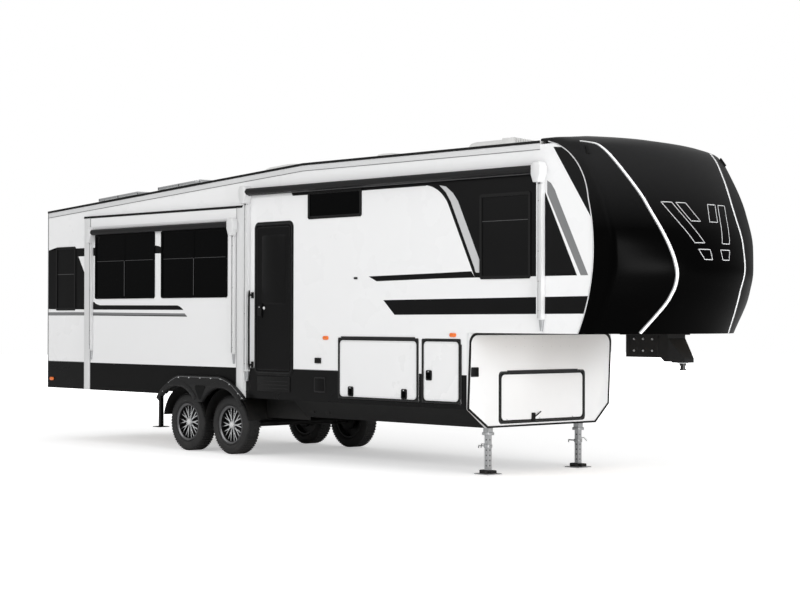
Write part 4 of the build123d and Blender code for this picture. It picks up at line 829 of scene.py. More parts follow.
PANES = ((1.373, 2.827), (3.014, 4.486))
GLASS = {"face": SLIDE_FACE + 0.0003, "body": "slide_{}"}
for i, (rear, front) in enumerate(PANES):
    bar(f"room_bar_{i}", rear + 0.03, front - 0.03, 2.6080, 2.6130, **GLASS)
    bar(f"room_mullion_{i}", (rear + front) / 2 - 0.005, (rear + front) / 2 + 0.005, 2.11, 2.6075,
        face=SLIDE_FACE + 0.0042, body="slide_{}")
bar("rear_side_bar", 0.27, 0.725, 2.4405, 2.4475)
bar("rear_side_edge", 0.726, 0.734, 1.95, 2.80)
bar("bed_bar", 9.185, 9.905, 2.894, 2.900)
bar("bed_edge", 9.902, 9.908, 2.29, 2.894)
lay("galley_bar", rectangle(5.52, 6.28, 2.497, 2.503), VINYL_GREY, (LEFT,), depth=0.0025)
print("window bars done")

# %% [markdown]
# ## Rivets, screws and nuts
# Small round heads are everywhere, and one Geometry Nodes tree makes them all: a dome on every point of
# a mesh, turned to the point's own direction. Making them by hand would be slow, and an array would
# not follow the arches. The tree realizes its copies, so each group ends as one plain mesh.

# %% Heads by Geometry Nodes
def copies_on(tree, given, end, points, shape, turn):
    """Ends a tree: copies on points, made real and given their material."""
    copies = add_node(tree, "GeometryNodeInstanceOnPoints", {"Points": points, "Instance": shape, "Rotation": turn})
    real = add_node(tree, "GeometryNodeRealizeInstances", {"Geometry": copies.outputs[0]})
    painted = add_node(tree, "GeometryNodeSetMaterial", {"Geometry": real.outputs[0], "Material": given["Material"]})
    tree.links.new(painted.outputs[0], end.inputs[0])
    return tree


def new_tree(name, *inputs):
    ends = [("Geometry", "Geometry", None), ("Material", "Material", None)]
    return new_group(name, [ends[0], *inputs, ends[1]], [("Geometry", "Geometry")], "GeometryNodeTree")


def stud_tree():
    """A domed head on every point, turned to the point's facing."""
    tree, given, end = new_tree("stud_heads", ("Radius", "Float", 0.006), ("Height", "Float", 0.004),
                                ("Sides", "Int", 12))
    head = add_node(tree, "GeometryNodeMeshCone", {"Vertices": given["Sides"], "Radius Bottom": given["Radius"],
                    "Depth": given["Height"]}, fill_type="NGON")
    tree.links.new(maths(tree, "MULTIPLY", given["Radius"], 0.62), head.inputs["Radius Top"])
    way = add_node(tree, "GeometryNodeInputNamedAttribute", {"Name": "facing"}, data_type="FLOAT_VECTOR")
    turned = add_node(tree, "FunctionNodeAlignRotationToVector", {"Vector": way.outputs[0]}, axis="Z")
    return copies_on(tree, given, end, given["Geometry"], head.outputs["Mesh"], turned.outputs[0])


def run_tree(name, mesh, tree, settings):
    """Runs a node tree on a mesh and returns the plain mesh it makes."""
    blank = link(name + "_seed", mesh)
    step = blank.modifiers.new("repeat", "NODES")
    step.node_group = tree
    for item in tree.interface.items_tree:
        if item.in_out == "INPUT" and item.name in settings:
            step[item.identifier] = settings[item.name]
    made_mesh = plain_mesh(blank)
    bpy.data.objects.remove(blank)
    return made_mesh


STUDS = stud_tree()


def studs(name, spots, material, radius=0.006, height=0.004, sides=12, body="body"):
    """Heads at (place, direction) pairs."""
    mesh = bpy.data.meshes.new(name + "_points")
    mesh.from_pydata([place for place, way in spots], [], [])
    facing = mesh.attributes.new("facing", "FLOAT_VECTOR", "POINT")
    for item, (place, way) in zip(facing.data, spots):
        item.vector = way
    settings = {"Radius": radius, "Height": height, "Sides": sides, "Material": material}
    return fit(link(name, run_tree(name, mesh, STUDS, settings)), material, body)


def side_spots(places, side, face):
    return [((at(s), side * face, z), (0, side, 0)) for s, z in places]


print("tree inputs:", [item.name for item in STUDS.interface.items_tree])

# %% [markdown]
# ## Wheels
# A trailer tyre has plain ribs and tall sidewalls, so it is turned from one profile. Its tread blocks
# are one row of five, repeated round the tyre by a second node tree. The alloy wheel has ten forked
# spokes over a dark pocket: one spoke is cut from sheet and goes through the same tree.

# %% A tree that repeats round an axle
def round_tree():
    """Copies of a shape, turned round the Y axis in equal steps."""
    tree, given, end = new_tree("round_the_axle", ("Count", "Int", 10))
    spots = add_node(tree, "GeometryNodePoints", {"Count": given["Count"]})
    share = maths(tree, "DIVIDE", add_node(tree, "GeometryNodeInputIndex").outputs[0], given["Count"])
    spin = add_node(tree, "ShaderNodeCombineXYZ", {"Y": maths(tree, "MULTIPLY", share, 2 * math.pi)})
    return copies_on(tree, given, end, spots.outputs[0], given["Geometry"], spin.outputs[0])


ROUND = round_tree()
TREAD_BLOCKS, SPOKE_COUNT = 58, 10
HALF_TYRE = [(0.0, 0.3805), (0.070, 0.3795), (0.088, 0.376), (0.101, 0.366), (0.109, 0.350), (0.115, 0.322),
             (0.1172, 0.306), (0.1160, 0.292), (0.110, 0.276), (0.099, 0.264), (0.089, 0.2585), (0.084, 0.250)]
TYRE = HALF_TYRE + [(-a, r) for a, r in HALF_TYRE[:0:-1]]
LIP = [(0.074, 0.231), (0.088, 0.240), (0.092, 0.2575), (0.0965, 0.2575), (0.0975, 0.250), (0.0955, 0.240),
       (0.083, 0.224)]
BARREL = [(0.080, 0.232), (-0.094, 0.236), (-0.094, 0.2575), (-0.088, 0.2575), (-0.080, 0.2485), (0.080, 0.2485)]
POCKET = [(0.010, 0.026), (0.010, 0.110), (-0.015, 0.234), (-0.025, 0.234), (0.0, 0.105), (0.0, 0.026)]
CAP_DOME = [(0.058, 0.0), (0.058, 0.046), (0.080, 0.044), (0.092, 0.034), (0.0965, 0.018), (0.098, 0.0)]
SPOKE = rounded([(0.034, -0.012, 0), (0.095, -0.0115, 0.01), (0.234, -0.043, 0), (0.238, -0.029, 0),
                 (0.118, 0.0, 0.004), (0.238, 0.029, 0), (0.234, 0.043, 0), (0.095, 0.0115, 0.01),
                 (0.034, 0.012, 0)], 3)
TREAD_ROWS = ((0.078, 0.0155), (0.039, 0.0165), (0.0, 0.0165), (-0.039, 0.0165), (-0.078, 0.0155))
NUT_COUNT, NUT_CIRCLE = 6, 0.058
RINGS = ((0.1112, 0.338), (0.1112, 0.262))    # raised rings on the tyre's wall


def repeated(name, seed_piece, count, material, centre):
    """A piece that is used up, repeated round the axle and moved to its centre."""
    seed = seed_piece.data.copy()
    bpy.data.objects.remove(seed_piece)
    mesh = run_tree(name, seed, ROUND, {"Count": count, "Material": material})
    mesh.transform(Matrix.Translation(centre))
    return link(name, mesh)


def wheel(axle, hand):
    side = -1 if hand == "right" else 1
    name, body = f"{axle}_{hand}", f"wheel_{axle}_{hand}"
    low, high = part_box("tyre_" + name)
    centre = Vector([(a + b) / 2 for a, b in zip(low, high)])
    out = (0, side, 0)
    row = blocks("tread_row", [about((-0.012, side * a, WHEEL_R - 0.0054), (0.012, half, 0.0046))
                               for a, half in TREAD_ROWS], 0.0015)
    tread = repeated("tread", row, TREAD_BLOCKS, RUBBER, centre)
    carcass = lathe("carcass", TYRE, centre, out, 96)
    rings = [lathe("ring", [(a, r), (a + 0.0016, r - 0.002), (a + 0.0016, r - 0.006), (a, r - 0.008)],
                   centre, out, 96) for a, r in RINGS]
    fit(join("tyre_" + name, [carcass, tread, *rings]), RUBBER, body, stands_for=["tyre_" + name])
    turned = [lathe("turned", profile, centre, out, 72) for profile in (BARREL, POCKET)]
    fit(join("barrel_" + name, turned), DARK_ALLOY, body, stands_for=["rim_" + name])
    spoke = sheet("spoke", [SPOKE], 0.030, Matrix.Translation((0, side * 0.050, 0)) @ side_place(side, 0, 0), 0.004)
    spokes = repeated("star", spoke, SPOKE_COUNT, BRIGHT, centre)
    spokes.name = "spokes_" + name
    fit(spokes, BRIGHT, body)
    fit(lathe("lip_" + name, LIP, centre, out, 96), LIP_ALLOY, body)
    fit(lathe("hub_cap_" + name, CAP_DOME, centre, out, 40), ENAMEL, body)
    turns = [2 * math.pi * (k + 0.5) / NUT_COUNT for k in range(NUT_COUNT)]
    nuts = [(centre + Vector((NUT_CIRCLE * math.cos(t), side * 0.062, NUT_CIRCLE * math.sin(t))), out) for t in turns]
    studs("nuts_" + name, nuts, ZINC, 0.011, 0.016, 6, body)


for axle in ("front", "rear"):
    for hand in ("right", "left"):
        wheel(axle, hand)
print("wheels:", [name for name in made if name.startswith("tyre_")])

# %% [markdown]
# ## Fender and lower panel of the slide-out room
# The fender is one dark moulding over both wheels, with a rolled edge round the arches and a shield
# between them. It is cut as an outline with arcs and given eased edges, since a swept lip alone would
# leave the flat face sharp.

# %% Fender outline
WHEEL_MID = (station_of(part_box("tyre_front_right")[0][0]) + station_of(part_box("tyre_rear_right")[1][0])) / 2
AXLE_HALF, ARCH_R = 0.480, 0.491
TOP_EDGE = [(-0.904, 0.742), (-0.845, 0.821), (-0.653, 0.965), (-0.474, 1.032), (0.499, 1.032), (0.721, 0.961),
            (0.940, 0.820), (1.027, 0.742)]
SHIELD = [(0.110, 0.683), (0.012, 0.683)]


def arch(ahead, start_z, end_z, steps=28):
    """Points over a wheel arch, from its front foot to its rear foot."""
    first = math.degrees(math.asin((start_z - WHEEL_R) / ARCH_R))
    last = 180 - math.degrees(math.asin((end_z - WHEEL_R) / ARCH_R))
    return arc((ahead, WHEEL_R), ARCH_R, first, last, steps)


def from_mid(points):
    return [(WHEEL_MID + u, v) for u, v in points]


top = rounded([(u, v, 0.45 if 0 < i < 7 else 0) for i, (u, v) in enumerate(TOP_EDGE)], 5)
fender = top + arch(AXLE_HALF, 0.729, 0.690) + SHIELD + arch(-AXLE_HALF, 0.690, 0.735)
panel_foot = (arch(AXLE_HALF, SKIRT_LOW, SKIRT_LOW), arch(-AXLE_HALF, SKIRT_LOW, SKIRT_LOW))
PANEL_REAR, PANEL_FRONT = S0 + 0.1405, S1 - 0.1405
lower = [(PANEL_REAR, SKIRT_LOW), (PANEL_REAR, SKIRT_TOP), (PANEL_FRONT, SKIRT_TOP), (PANEL_FRONT, SKIRT_LOW)]
lower += from_mid(panel_foot[0]) + from_mid(panel_foot[1])
for side in (RIGHT, LEFT):
    hand = HAND[side]
    place = side_place(side, SLIDE_FACE - 0.020, 0.020)
    panel = sheet("room_skirt_" + hand, [[(at(s), z) for s, z in lower]], 0.020, place)
    fit(panel, SKIRT_BLACK, "slide_" + hand, stands_for=[f"slide_{hand}_skirt"])
lay("fender", from_mid(fender), FENDER_GREY, depth=0.046, ease=0.010, **ROOM)
print("fender points:", len(fender))

# %% Fender lips, edge line and rivets
FENDER_FACE = SLIDE_FACE + 0.046


def bead(name, line, radius, material, face, body="body"):
    for side in (RIGHT, LEFT):
        points = [(at(s), side * face, z) for s, z in line]
        fit(tube(f"{name}_{HAND[side]}", points, radius, 2), material, body.format(HAND[side]))


inset = [(u * 0.985, v - 0.020) for u, v in top]
for i, ahead in enumerate((-AXLE_HALF, AXLE_HALF)):
    first, last = ((38, 146), (30, 140))[i]
    band = arc((ahead, WHEEL_R), 0.572, first, last, 26) + arc((ahead, WHEEL_R), 0.508, last, first, 26)
    lay(f"arch_band_{i}", from_mid(band), FENDER_GREY, face=FENDER_FACE - 0.004, depth=0.010, ease=0.003,
        body="slide_{}")
bead("fender_line", from_mid(inset[2:-2]), 0.0028, VINYL_GREY, FENDER_FACE, "slide_{}")
for i, ahead in enumerate((-AXLE_HALF, AXLE_HALF)):
    first, last = ((50, 130), (46, 134))[i]
    lip = arc((WHEEL_MID + ahead, WHEEL_R), ARCH_R + 0.016, first, last, 30)
    bead(f"arch_lip_{i}", lip, 0.010, FENDER_GREY, FENDER_FACE - 0.004, "slide_{}")
# The shield's recess is a darker sheet laid proud of the fender: its darker colour is painted shade of the recess.
recess = rounded([(-0.075, 0.905, 0.03), (0.195, 0.905, 0.03), (0.085, 0.715, 0.03), (0.040, 0.715, 0.03)], 4)
lay("shield_recess_shade", from_mid([(u - 0.005, v) for u, v in recess]), SKIRT_BLACK, face=FENDER_FACE, depth=0.007,
    body="slide_{}")
spots = [(-0.80, 0.80), (-0.66, 0.925), (-0.44, 0.998), (-0.20, 1.003), (0.05, 1.003), (0.29, 1.003), (0.50, 0.998),
         (0.70, 0.935), (0.88, 0.82), (0.96, 0.765)]
for side in (RIGHT, LEFT):
    places = [(WHEEL_MID + u, v) for u, v in spots]
    studs("fender_rivets_" + HAND[side], side_spots(places, side, FENDER_FACE), BRIGHT, 0.010, 0.007, 12,
          "slide_" + HAND[side])
print("fender rivets:", len(spots))

# %% [markdown]
# ## Doors, hatches and handles
# The storage doors are white leaves in thick black gaskets. The gasket is the leaf's own raised edge,
# coloured by how far it stands out, with a rounded inner corner added. Latches, the grab bar and the
# entry door's hardware are eased blocks and tubes.

# %% Storage door gaskets and latches
DOORS = {"rear": (6.681, 8.139, 0.813, 1.570), "front": (8.185, 8.846, 0.813, 1.570)}
LATCHES = (("rear", 6.927, 0.913), ("rear", 7.888, 0.909), ("front", 8.315, 1.142))
for end, box in DOORS.items():
    body = "storage_door_{}_" + end
    lay("gasket_" + end, inside(box, 0.026, 0.02, 2), TRIM_BLACK, depth=0.0065, body=body,
        holes=[inside(box, 0.037, 0.05, 8, 0.035)])
    lay("leaf_line_" + end, inside(box, 0.050, 0.04, 6, 0.048), VINYL_PALE, body=body,
        holes=[inside(box, 0.053, 0.038, 6, 0.051)])
for i, (end, s, z) in enumerate(LATCHES):
    body = "storage_door_{}_" + end
    lay(f"latch_{i}", around(s, z, 0.047, 0.060, 0.02), TRIM_BLACK, depth=0.014, ease=0.003, body=body)
    lay(f"paddle_{i}", rectangle(s - 0.030, s + 0.030, z - 0.042, z + 0.030, 0.012), CAP_BLACK_TOP_SHEEN,
        face=SIDE_FACE + 0.014, depth=0.010, ease=0.003, body=body)
    for side in (RIGHT, LEFT):
        key = ((at(s), side * (SIDE_FACE + 0.016), z + 0.043), (0, side, 0))
        studs(f"key_{i}_{HAND[side]}", [key], BRIGHT, 0.009, 0.005, 16, body.format(HAND[side]))
print("latches:", sum(name.startswith("latch") for name in made))

# %% Entry door, step and grab bar
DOOR_FACE = -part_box("door_frame")[0][1]
ENTRY = (5.034, 5.801, 1.086, 3.027)
on_frame = {"sides": (RIGHT,), "face": DOOR_FACE}
on_leaf = {**on_frame, "body": "entry_door"}
lay("door_bead", inside(ENTRY, 0.010, 0.062, 10), FENDER_GREY, depth=0.005, ease=0.0015,
    holes=[inside(ENTRY, 0.024, 0.05, 10)], **on_frame)
lay("door_flange", inside(ENTRY, -0.014, 0.084, 10), TRIM_BLACK, (RIGHT,), depth=0.005, ease=0.0015,
    holes=[inside(ENTRY, 0.002, 0.068, 10)])
lay("door_edge", inside(ENTRY, 0.052, 0.03), TRIM_BLACK, depth=0.003, ease=0.001,
    holes=[inside(ENTRY, 0.064, 0.024)], **on_leaf)
lay("door_glass", rectangle(5.18, 5.655, 1.98, 2.87, 0.03), VINYL_BLACK, depth=0.002, ease=0.0008, **on_leaf)
lay("door_pull", rectangle(5.118, 5.190, 1.835, 1.965, 0.012), TRIM_BLACK, face=DOOR_FACE + 0.014, sides=(RIGHT,),
    depth=0.012, ease=0.003, body="entry_door")
studs("door_locks", [((at(5.224), -DOOR_FACE - 0.001, 1.933), (0, -1, 0))], ENAMEL, 0.020, 0.009, 24, "entry_door")
studs("door_key", [((at(5.154), -DOOR_FACE - 0.026, 1.945), (0, -1, 0))], BRIGHT, 0.010, 0.005, 16, "entry_door")
lay("step_box", rectangle(5.09, 5.75, 0.865, 1.055, 0.01), TRIM_BLACK, (RIGHT,), depth=0.012, ease=0.003)
for z in (0.90, 0.945, 0.99):
    lay(f"step_line_{round(z * 1000)}", rectangle(5.12, 5.72, z, z + 0.008), FENDER_GREY, (RIGHT,),
        face=SIDE_FACE + 0.012, depth=0.003)
x, y = at(4.985), -(SIDE_FACE + 0.068)
bar_line = [(x, y + out, z) for out, z in ((0.055, 1.20), (0.015, 1.20), (0, 1.215), (0, 2.085), (0.015, 2.10),
                                           (0.055, 2.10))]
grab = tube("grab_bar", curve_through(bar_line, 3), 0.013, 4)
feet = blocks("grab_feet", [about((x, y + 0.057, z), (0.02, 0.009, 0.04)) for z in (1.20, 2.10)], 0.004)
fit(join("grab_handle_bar", [grab, feet]), TRIM_BLACK, stands_for=["grab_handle"])
print("door pieces done")

# %% Small fittings on the walls
lay("service_box", rectangle(6.230, 6.446, 0.881, 1.070, 0.02), FENDER_GREY, depth=0.008, ease=0.002)
lay("service_lid", rectangle(6.246, 6.430, 0.897, 1.054, 0.015), SKIRT_BLACK, face=SIDE_FACE + 0.008, depth=0.004,
    ease=0.001)
lay("outlet_cover", rectangle(6.252, 6.362, 1.243, 1.311, 0.008), TRIM_BLACK, depth=0.020, ease=0.004)
lay("port_light", rectangle(6.985, 7.045, 2.278, 2.304, 0.006), TRIM_BLACK, depth=0.012, ease=0.003)
for i, (s, z) in enumerate(((6.453, 1.560), (8.715, 1.613), (0.126, 0.897))):
    lay(f"amber_{i}", around(s, z, 0.052, 0.024, 0.022), AMBER_LENS, depth=0.016, ease=0.005)
lay("porch_light", rectangle(5.905, 6.015, 2.900, 3.000, 0.02), ENAMEL, (LEFT,), depth=0.03, ease=0.008)
lay("far_vent", rectangle(5.25, 5.65, 1.35, 1.62, 0.02), ENAMEL, (LEFT,), depth=0.012, ease=0.003)
for k in range(6):
    lay(f"far_vent_slat_{k}", rectangle(5.28, 5.62, 1.385 + 0.036 * k, 1.403 + 0.036 * k), VINYL_GREY, (LEFT,),
        face=SIDE_FACE + 0.012, depth=0.004, ease=0.001)
print("fittings done")

# %% [markdown]
# ## Awnings
# A rolled awning is fabric on a tube between two moulded heads, on channel arms. The roll is lathed
# with a soft bulge, the heads are outlines with eased edges, and each arm gets ribs, grey lines of
# painted shade in its grooves and under its head, a tapered foot whose grey also stands for the shadow
# below the bracket, and screws. A cloth simulation would add nothing to a roll that stays shut.

# %% Main awning
ROLL_Z = (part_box("awning_roller")[0][2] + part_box("awning_roller")[1][2]) / 2
ROLL_Y = (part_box("awning_roller")[0][1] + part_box("awning_roller")[1][1]) / 2
ROLL_X = [corner[0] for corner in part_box("awning_roller")]
ARM_X = (at(4.885), at(10.112))


def roll(name, x0, x1, y, z, r, body="body", stands_for=()):
    profile = [(0, r * 0.55), (0, r * 0.97), (0.03, r)]
    profile += [((x1 - x0) * k / 12, r * (1 + 0.012 * math.sin(k * 1.9))) for k in range(1, 12)]
    profile += [(x1 - x0 - 0.03, r), (x1 - x0, r * 0.97), (x1 - x0, r * 0.55)]
    return fit(lathe(name, profile, (x0, y, z), (1, 0, 0), 40), ROLLED, body, stands_for=stands_for)


roll("awning_fabric", ROLL_X[0], ROLL_X[1], ROLL_Y, ROLL_Z, 0.0425, stands_for=["awning_roller"])
hem = blocks("awning_hem", [((ROLL_X[0] + 0.01, ROLL_Y + 0.012, ROLL_Z - 0.054),
                             (ROLL_X[1] - 0.01, ROLL_Y + 0.034, ROLL_Z - 0.042))], 0.003)
fit(hem, FAINT_BAR)


HEAD_HALF, HEAD_HIGH, HEAD_LOW = 0.072, 0.078, 0.150


def head_outline(x, z, neck):
    """A moulded head that narrows to the arm below it."""
    half = [(HEAD_HALF * 0.66, HEAD_HIGH, 0.02), (HEAD_HALF, HEAD_HIGH * 0.4, 0.025),
            (HEAD_HALF, -HEAD_LOW * 0.4, 0.03), (neck, -HEAD_LOW, 0.012)]
    return rounded([(x + u, z + v, r) for u, v, r in half] + [(x - u, z + v, r) for u, v, r in half[::-1]], 5)


def awning_arm(name, side, x, face, low, z, width, deep, out, body="body"):
    """Arm, head and tapered foot of an awning; grey lines on the arm are painted shade in its grooves and under its
    head, and the foot's grey taper also stands for the shadow below the bracket.
    """
    half = width / 2

    def part(outline, depth, lift=0.0, ease=0.0):
        return sheet(name, [outline], depth, side_place(side, face + lift, depth), ease)

    pieces = [part(head_outline(x, z, half), out, 0, 0.012),
              part(arc((x, z), 0.030, 0, 354, 30), 0.004, out - 0.0035),
              part(rectangle(x - half, x + half, low, z - 0.05, 0.012, 3), deep - 0.012, 0, 0.004)]
    pieces += [part(rectangle(x + u - 0.007, x + u + 0.007, low + 0.02, z - 0.10), 0.013, deep - 0.013, 0.002)
               for u in (-half + 0.009, half - 0.009)]
    # Grey lines of painted shade: they stand for the dark grooves along the channel and the shade under the head.
    lines = [part(rectangle(x + u - 0.003, x + u + 0.003, low + 0.02, z - 0.12), 0.002, deep - 0.0125)
             for u in (-half + 0.019, half - 0.019)]
    lines.append(part(around(x, z - 0.160, half * 1.02, 0.008), 0.004, deep - 0.011))
    fit(join(name + "_lines", lines), VINYL_GREY, body)
    # The grey taper is the bracket's foot, and it also stands in for the shadow cast below the bracket: partly painted
    # shadow.
    foot_and_shadow = [(x - half * 0.75, low), (x + half * 0.75, low), (x + half * 0.28, low - 0.125),
             (x - half * 0.28, low - 0.125)]
    foot = part(foot_and_shadow, deep * 0.45, 0, 0.003)
    foot.name = name + "_foot"
    fit(foot, ZINC, body)
    return fit(join(name, pieces), ENAMEL, body)


ARM_FEET = (1.110, 1.790)
for i, (x, low) in enumerate(zip(ARM_X, ARM_FEET)):
    arm = awning_arm(f"awning_arm_{i}", RIGHT, x, SIDE_FACE + 0.0005, low, ROLL_Z, 0.080, 0.060, 0.118)
    if i == 0:
        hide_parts("awning_arms")
screws = [((x + u, -(SIDE_FACE + 0.048), z), (0, -1, 0)) for x, low in zip(ARM_X, ARM_FEET)
          for u in (-0.018, 0.018) for z in (low + 0.10, low + 0.42, low + 0.75, ROLL_Z - 0.35)]
studs("awning_screws", screws, TRIM_BLACK, 0.006, 0.004)
print("awning roll", [round(x, 3) for x in ROLL_X])

# %% Slide-out awnings
TOPPER_Z = 3.032
for side in (RIGHT, LEFT):
    hand = HAND[side]
    body = "slide_" + hand
    ends = (at(1.270), at(4.652))
    arms = [awning_arm(f"topper_arm_{i}_{hand}", side, x, SLIDE_FACE + 0.0005, 1.330, TOPPER_Z, 0.064, 0.045, 0.088,
                       body) for i, x in enumerate(ends)]
    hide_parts(f"slide_{hand}_awning")
    roll(f"topper_fabric_{hand}", ends[0] + 0.070, ends[1] - 0.070, side * (SLIDE_FACE + 0.045), TOPPER_Z, 0.0405,
         body)
    apron = about((sum(ends) / 2, side * (SLIDE_FACE + 0.004), TOPPER_Z + 0.0675),
                  ((ends[1] - ends[0]) / 2 - 0.06, 0.002, 0.0175))
    fit(blocks(f"topper_apron_{hand}", [apron], 0.0015), ENAMEL, body)
    spots = [((x, side * (SLIDE_FACE + 0.034), z), (0, side, 0)) for x in ends for z in (1.42, 1.62, 2.2, 2.75)]
    studs("topper_screws_" + hand, spots, TRIM_BLACK, 0.005, 0.004, 12, body)
print("toppers done")

# %% [markdown]
# ## Front panel
# The pale panel under the cap is framed in black rubber: round top corners, slanting lower corners, a
# hatch in a heavy gasket and a lever handle. The frame is one outline with a hole, so its corners
# join cleanly where four separate strips would not.

# %% Panel frame, hatch and outlet
def on_front(name, loops, material, depth, lift=0.0, ease=0.0, body="body"):
    """A flat piece on the lower front panel, drawn as (Y, Z), pressed back where the corner facets slope."""
    piece = sheet(name, loops, depth, front_place(LOWER_FRONT_X + lift, depth), ease)
    for v in piece.data.vertices:
        beyond_crease = 0.975 * (abs(v.co.y) - SIDE_FACE) - 0.289 * (v.co.z - FACET_TOP_Z)
        v.co.x -= FACET_DEPTH * max(beyond_crease, 0.0) / 0.2182
    return fit(piece, material, body)


BELLY_HALF, BELLY_Z, TOP_Z = 0.930, 0.545, GOOSE_Z - 0.001
FACET_TOP_Z, FACET_DEPTH = 1.520, 0.036


def panel_outline(belly, low, half, foot, top, r):
    """Round top corners, slanting lower corners."""
    right = [(belly, low, 0), (half, foot, 0), (half, 1.40, 0), (half, top, r)]
    return rounded(right + [(-u, v, bend) for u, v, bend in right[::-1]], 10)


frame_out = panel_outline(BELLY_HALF, BELLY_Z, SIDE_FACE - 0.0005, SKIRT_LOW, TOP_Z, 0.13)
frame_in = panel_outline(BELLY_HALF - 0.012, BELLY_Z + 0.022, SIDE_FACE - 0.026, SKIRT_LOW + 0.014,
                         TOP_Z - 0.026, 0.105)
on_front("front_frame", [frame_out, frame_in], TRIM_BLACK, 0.008)
HATCH = (-0.737, 0.737, 0.588, 1.189)
on_front("hatch_seal", [rectangle(-0.741, 0.741, 0.584, 1.192, 0.049, 8), inside(HATCH, 0.002, 0.043, 8)],
         TRIM_BLACK, 0.004)
on_front("hatch_gasket", [inside(HATCH, 0.026, 0.03), inside(HATCH, 0.038, 0.05, 8, 0.036)], TRIM_BLACK, 0.006,
         body="front_hatch")
on_front("hatch_latch", [rectangle(-0.195, -0.140, 0.600, 0.700, 0.01)], TRIM_BLACK, 0.016, 0.004, 0.003,
         "front_hatch")
lever = tube("hatch_lever", [(LOWER_FRONT_X + 0.026, -0.160, 0.650), (LOWER_FRONT_X + 0.034, -0.100, 0.690),
                             (LOWER_FRONT_X + 0.034, -0.065, 0.712)], 0.007, 3)
fit(lever, TRIM_BLACK, "front_hatch")
on_front("front_outlet", [rectangle(-1.183, -1.078, 1.137, 1.247, 0.01)], TRIM_BLACK, 0.016, 0, 0.004)
on_front("outlet_lid", [rectangle(-1.170, -1.091, 1.150, 1.234, 0.008)], SKIRT_BLACK, 0.010, 0.016, 0.003)
forward = (1, 0, 0)
spots = [((LOWER_FRONT_X, y, z), forward) for y in [-0.62 + 0.155 * k for k in range(9)] for z in (1.575, 1.475)]
spots += [((LOWER_FRONT_X, s * 1.16, z), forward) for s in (-1, 1) for z in (0.88, 1.02, 1.34, 1.46)]
studs("panel_rivets", spots, VINYL_PALE, 0.0045, 0.002)
catches = [((LOWER_FRONT_X, y, 0.632), forward) for y in (-0.603, 0.523, -0.05)]
studs("hatch_screws", catches, ZINC, 0.009, 0.006, 12, "front_hatch")
print("front panel done")

# %% Landing legs
LEG_X, LEG_Y = at(8.840), 0.7753
for side in (RIGHT, LEFT):
    hand = HAND[side]
    y = side * LEG_Y
    box = blocks("gear_box", [about((LEG_X, y, 0.469), (0.052, 0.052, 0.017))], 0.006)
    collar = blocks("collar", [about((LEG_X, y, 0.325), (0.037, 0.037, 0.020))], 0.005)
    pin = tube("pin", [(LEG_X - 0.155, y, 0.325), (LEG_X + 0.050, y, 0.325)], 0.008, 3)
    grip = tube("grip", [(LEG_X - 0.155, y, 0.325), (LEG_X - 0.155, y, 0.295)], 0.008, 3)
    crank = tube("crank", [(LEG_X + u, y + side * out, z) for u, out, z in ((0, 0.045, 0.352), (0, 0.105, 0.356),
                                                                            (0.02, 0.135, 0.315))], 0.007, 3)
    fit(join("leg_gear_" + hand, [box, collar, pin, grip, crank]), ZINC)
    foot = blocks("leg_foot_" + hand, [about((LEG_X, y, 0.031), (0.10, 0.045, 0.019)),
                                       about((LEG_X, y, 0.026), (0.045, 0.10, 0.014))], 0.006)
    fit(foot, CHASSIS_BLACK)
    # The leg's holes are black discs: painted shade seen inside the hollow leg.
    holes = [((LEG_X + 0.030, y, z), (1, 0, 0)) for z in (0.10, 0.16, 0.22, 0.28, 0.40)]
    holes += [((LEG_X, y - 0.030, z), (0, -1, 0)) for z in (0.10, 0.16, 0.22, 0.28, 0.40)]
    studs("leg_hole_shades_" + hand, holes, TRIM_BLACK, 0.009, 0.001)
print("legs at", round(LEG_X, 3))

# %% [markdown]
# ## Coupling
# The pin box is plain black plate. Bolt rows, a stiffener on each cheek and a greased ring round the
# kingpin are enough to read as one at this distance.

# %% Pin box details
PIN_X, BOX_X0, BOX_X1 = at(11.077), at(10.390), at(10.890)
stiffeners = [about((x, s * 0.1505, 1.51), (0.01, 0.004, 0.11)) for x in (BOX_X0 + 0.04, BOX_X1 - 0.04)
              for s in (-1, 1)]
plates = blocks("box_flanges", [((BOX_X0 - 0.05, -0.20, GOOSE_Z - 0.014), (BOX_X1 + 0.13, 0.20, GOOSE_Z - 0.001)),
                                *stiffeners], 0.002)
fit(plates, CHASSIS_BLACK)
bolts = [((BOX_X0 + u, s * 0.150, z), (0, s, 0)) for u in (0.12, 0.25, 0.38) for z in (1.45, 1.58) for s in (-1, 1)]
studs("box_bolts", bolts, ZINC, 0.014, 0.012, 6)
grease = lathe("pin_collar", [(0, 0.0367), (0, 0.060), (-0.008, 0.058), (-0.008, 0.0367)], (PIN_X, 0, 1.323),
               (0, 0, 1), 40)
fit(grease, BRIGHT)
print("bolts:", len(bolts))

# %% [markdown]
# ## Roof equipment
# The cooler shrouds are lofted through rounded rectangles, which gives the soft shoulders of a moulded
# cover. Vents, plumbing caps, an antenna dome and the panels' frames are eased blocks and lathes.

# %% Cooler shrouds
SLOPE = (ROOF_TOP - ROOF_REAR_Z) / ROOF_BREAK


def on_roof(station, y):
    """The place and tilt of the roof there."""
    tilt = Matrix.Rotation(-math.atan(SLOPE), 4, "Y") if station < ROOF_BREAK else Matrix.Identity(4)
    return Matrix.Translation((at(station), y, roof_z(station) + 0.0005)) @ tilt


def shroud(name, length, width, height, corner):
    levels = ((0.0, 0.0), (0.16, 0.004), (0.22, 0.014), (0.75, 0.034), (0.90, 0.052), (0.98, 0.085), (1.0, 0.13))
    rings = []
    for share, inset in levels:
        outline = rectangle(inset - length / 2, length / 2 - inset, inset - width / 2, width / 2 - inset, corner, 6)
        rings.append([(u, v, height * share) for u, v in outline])
    return loft(name, rings)


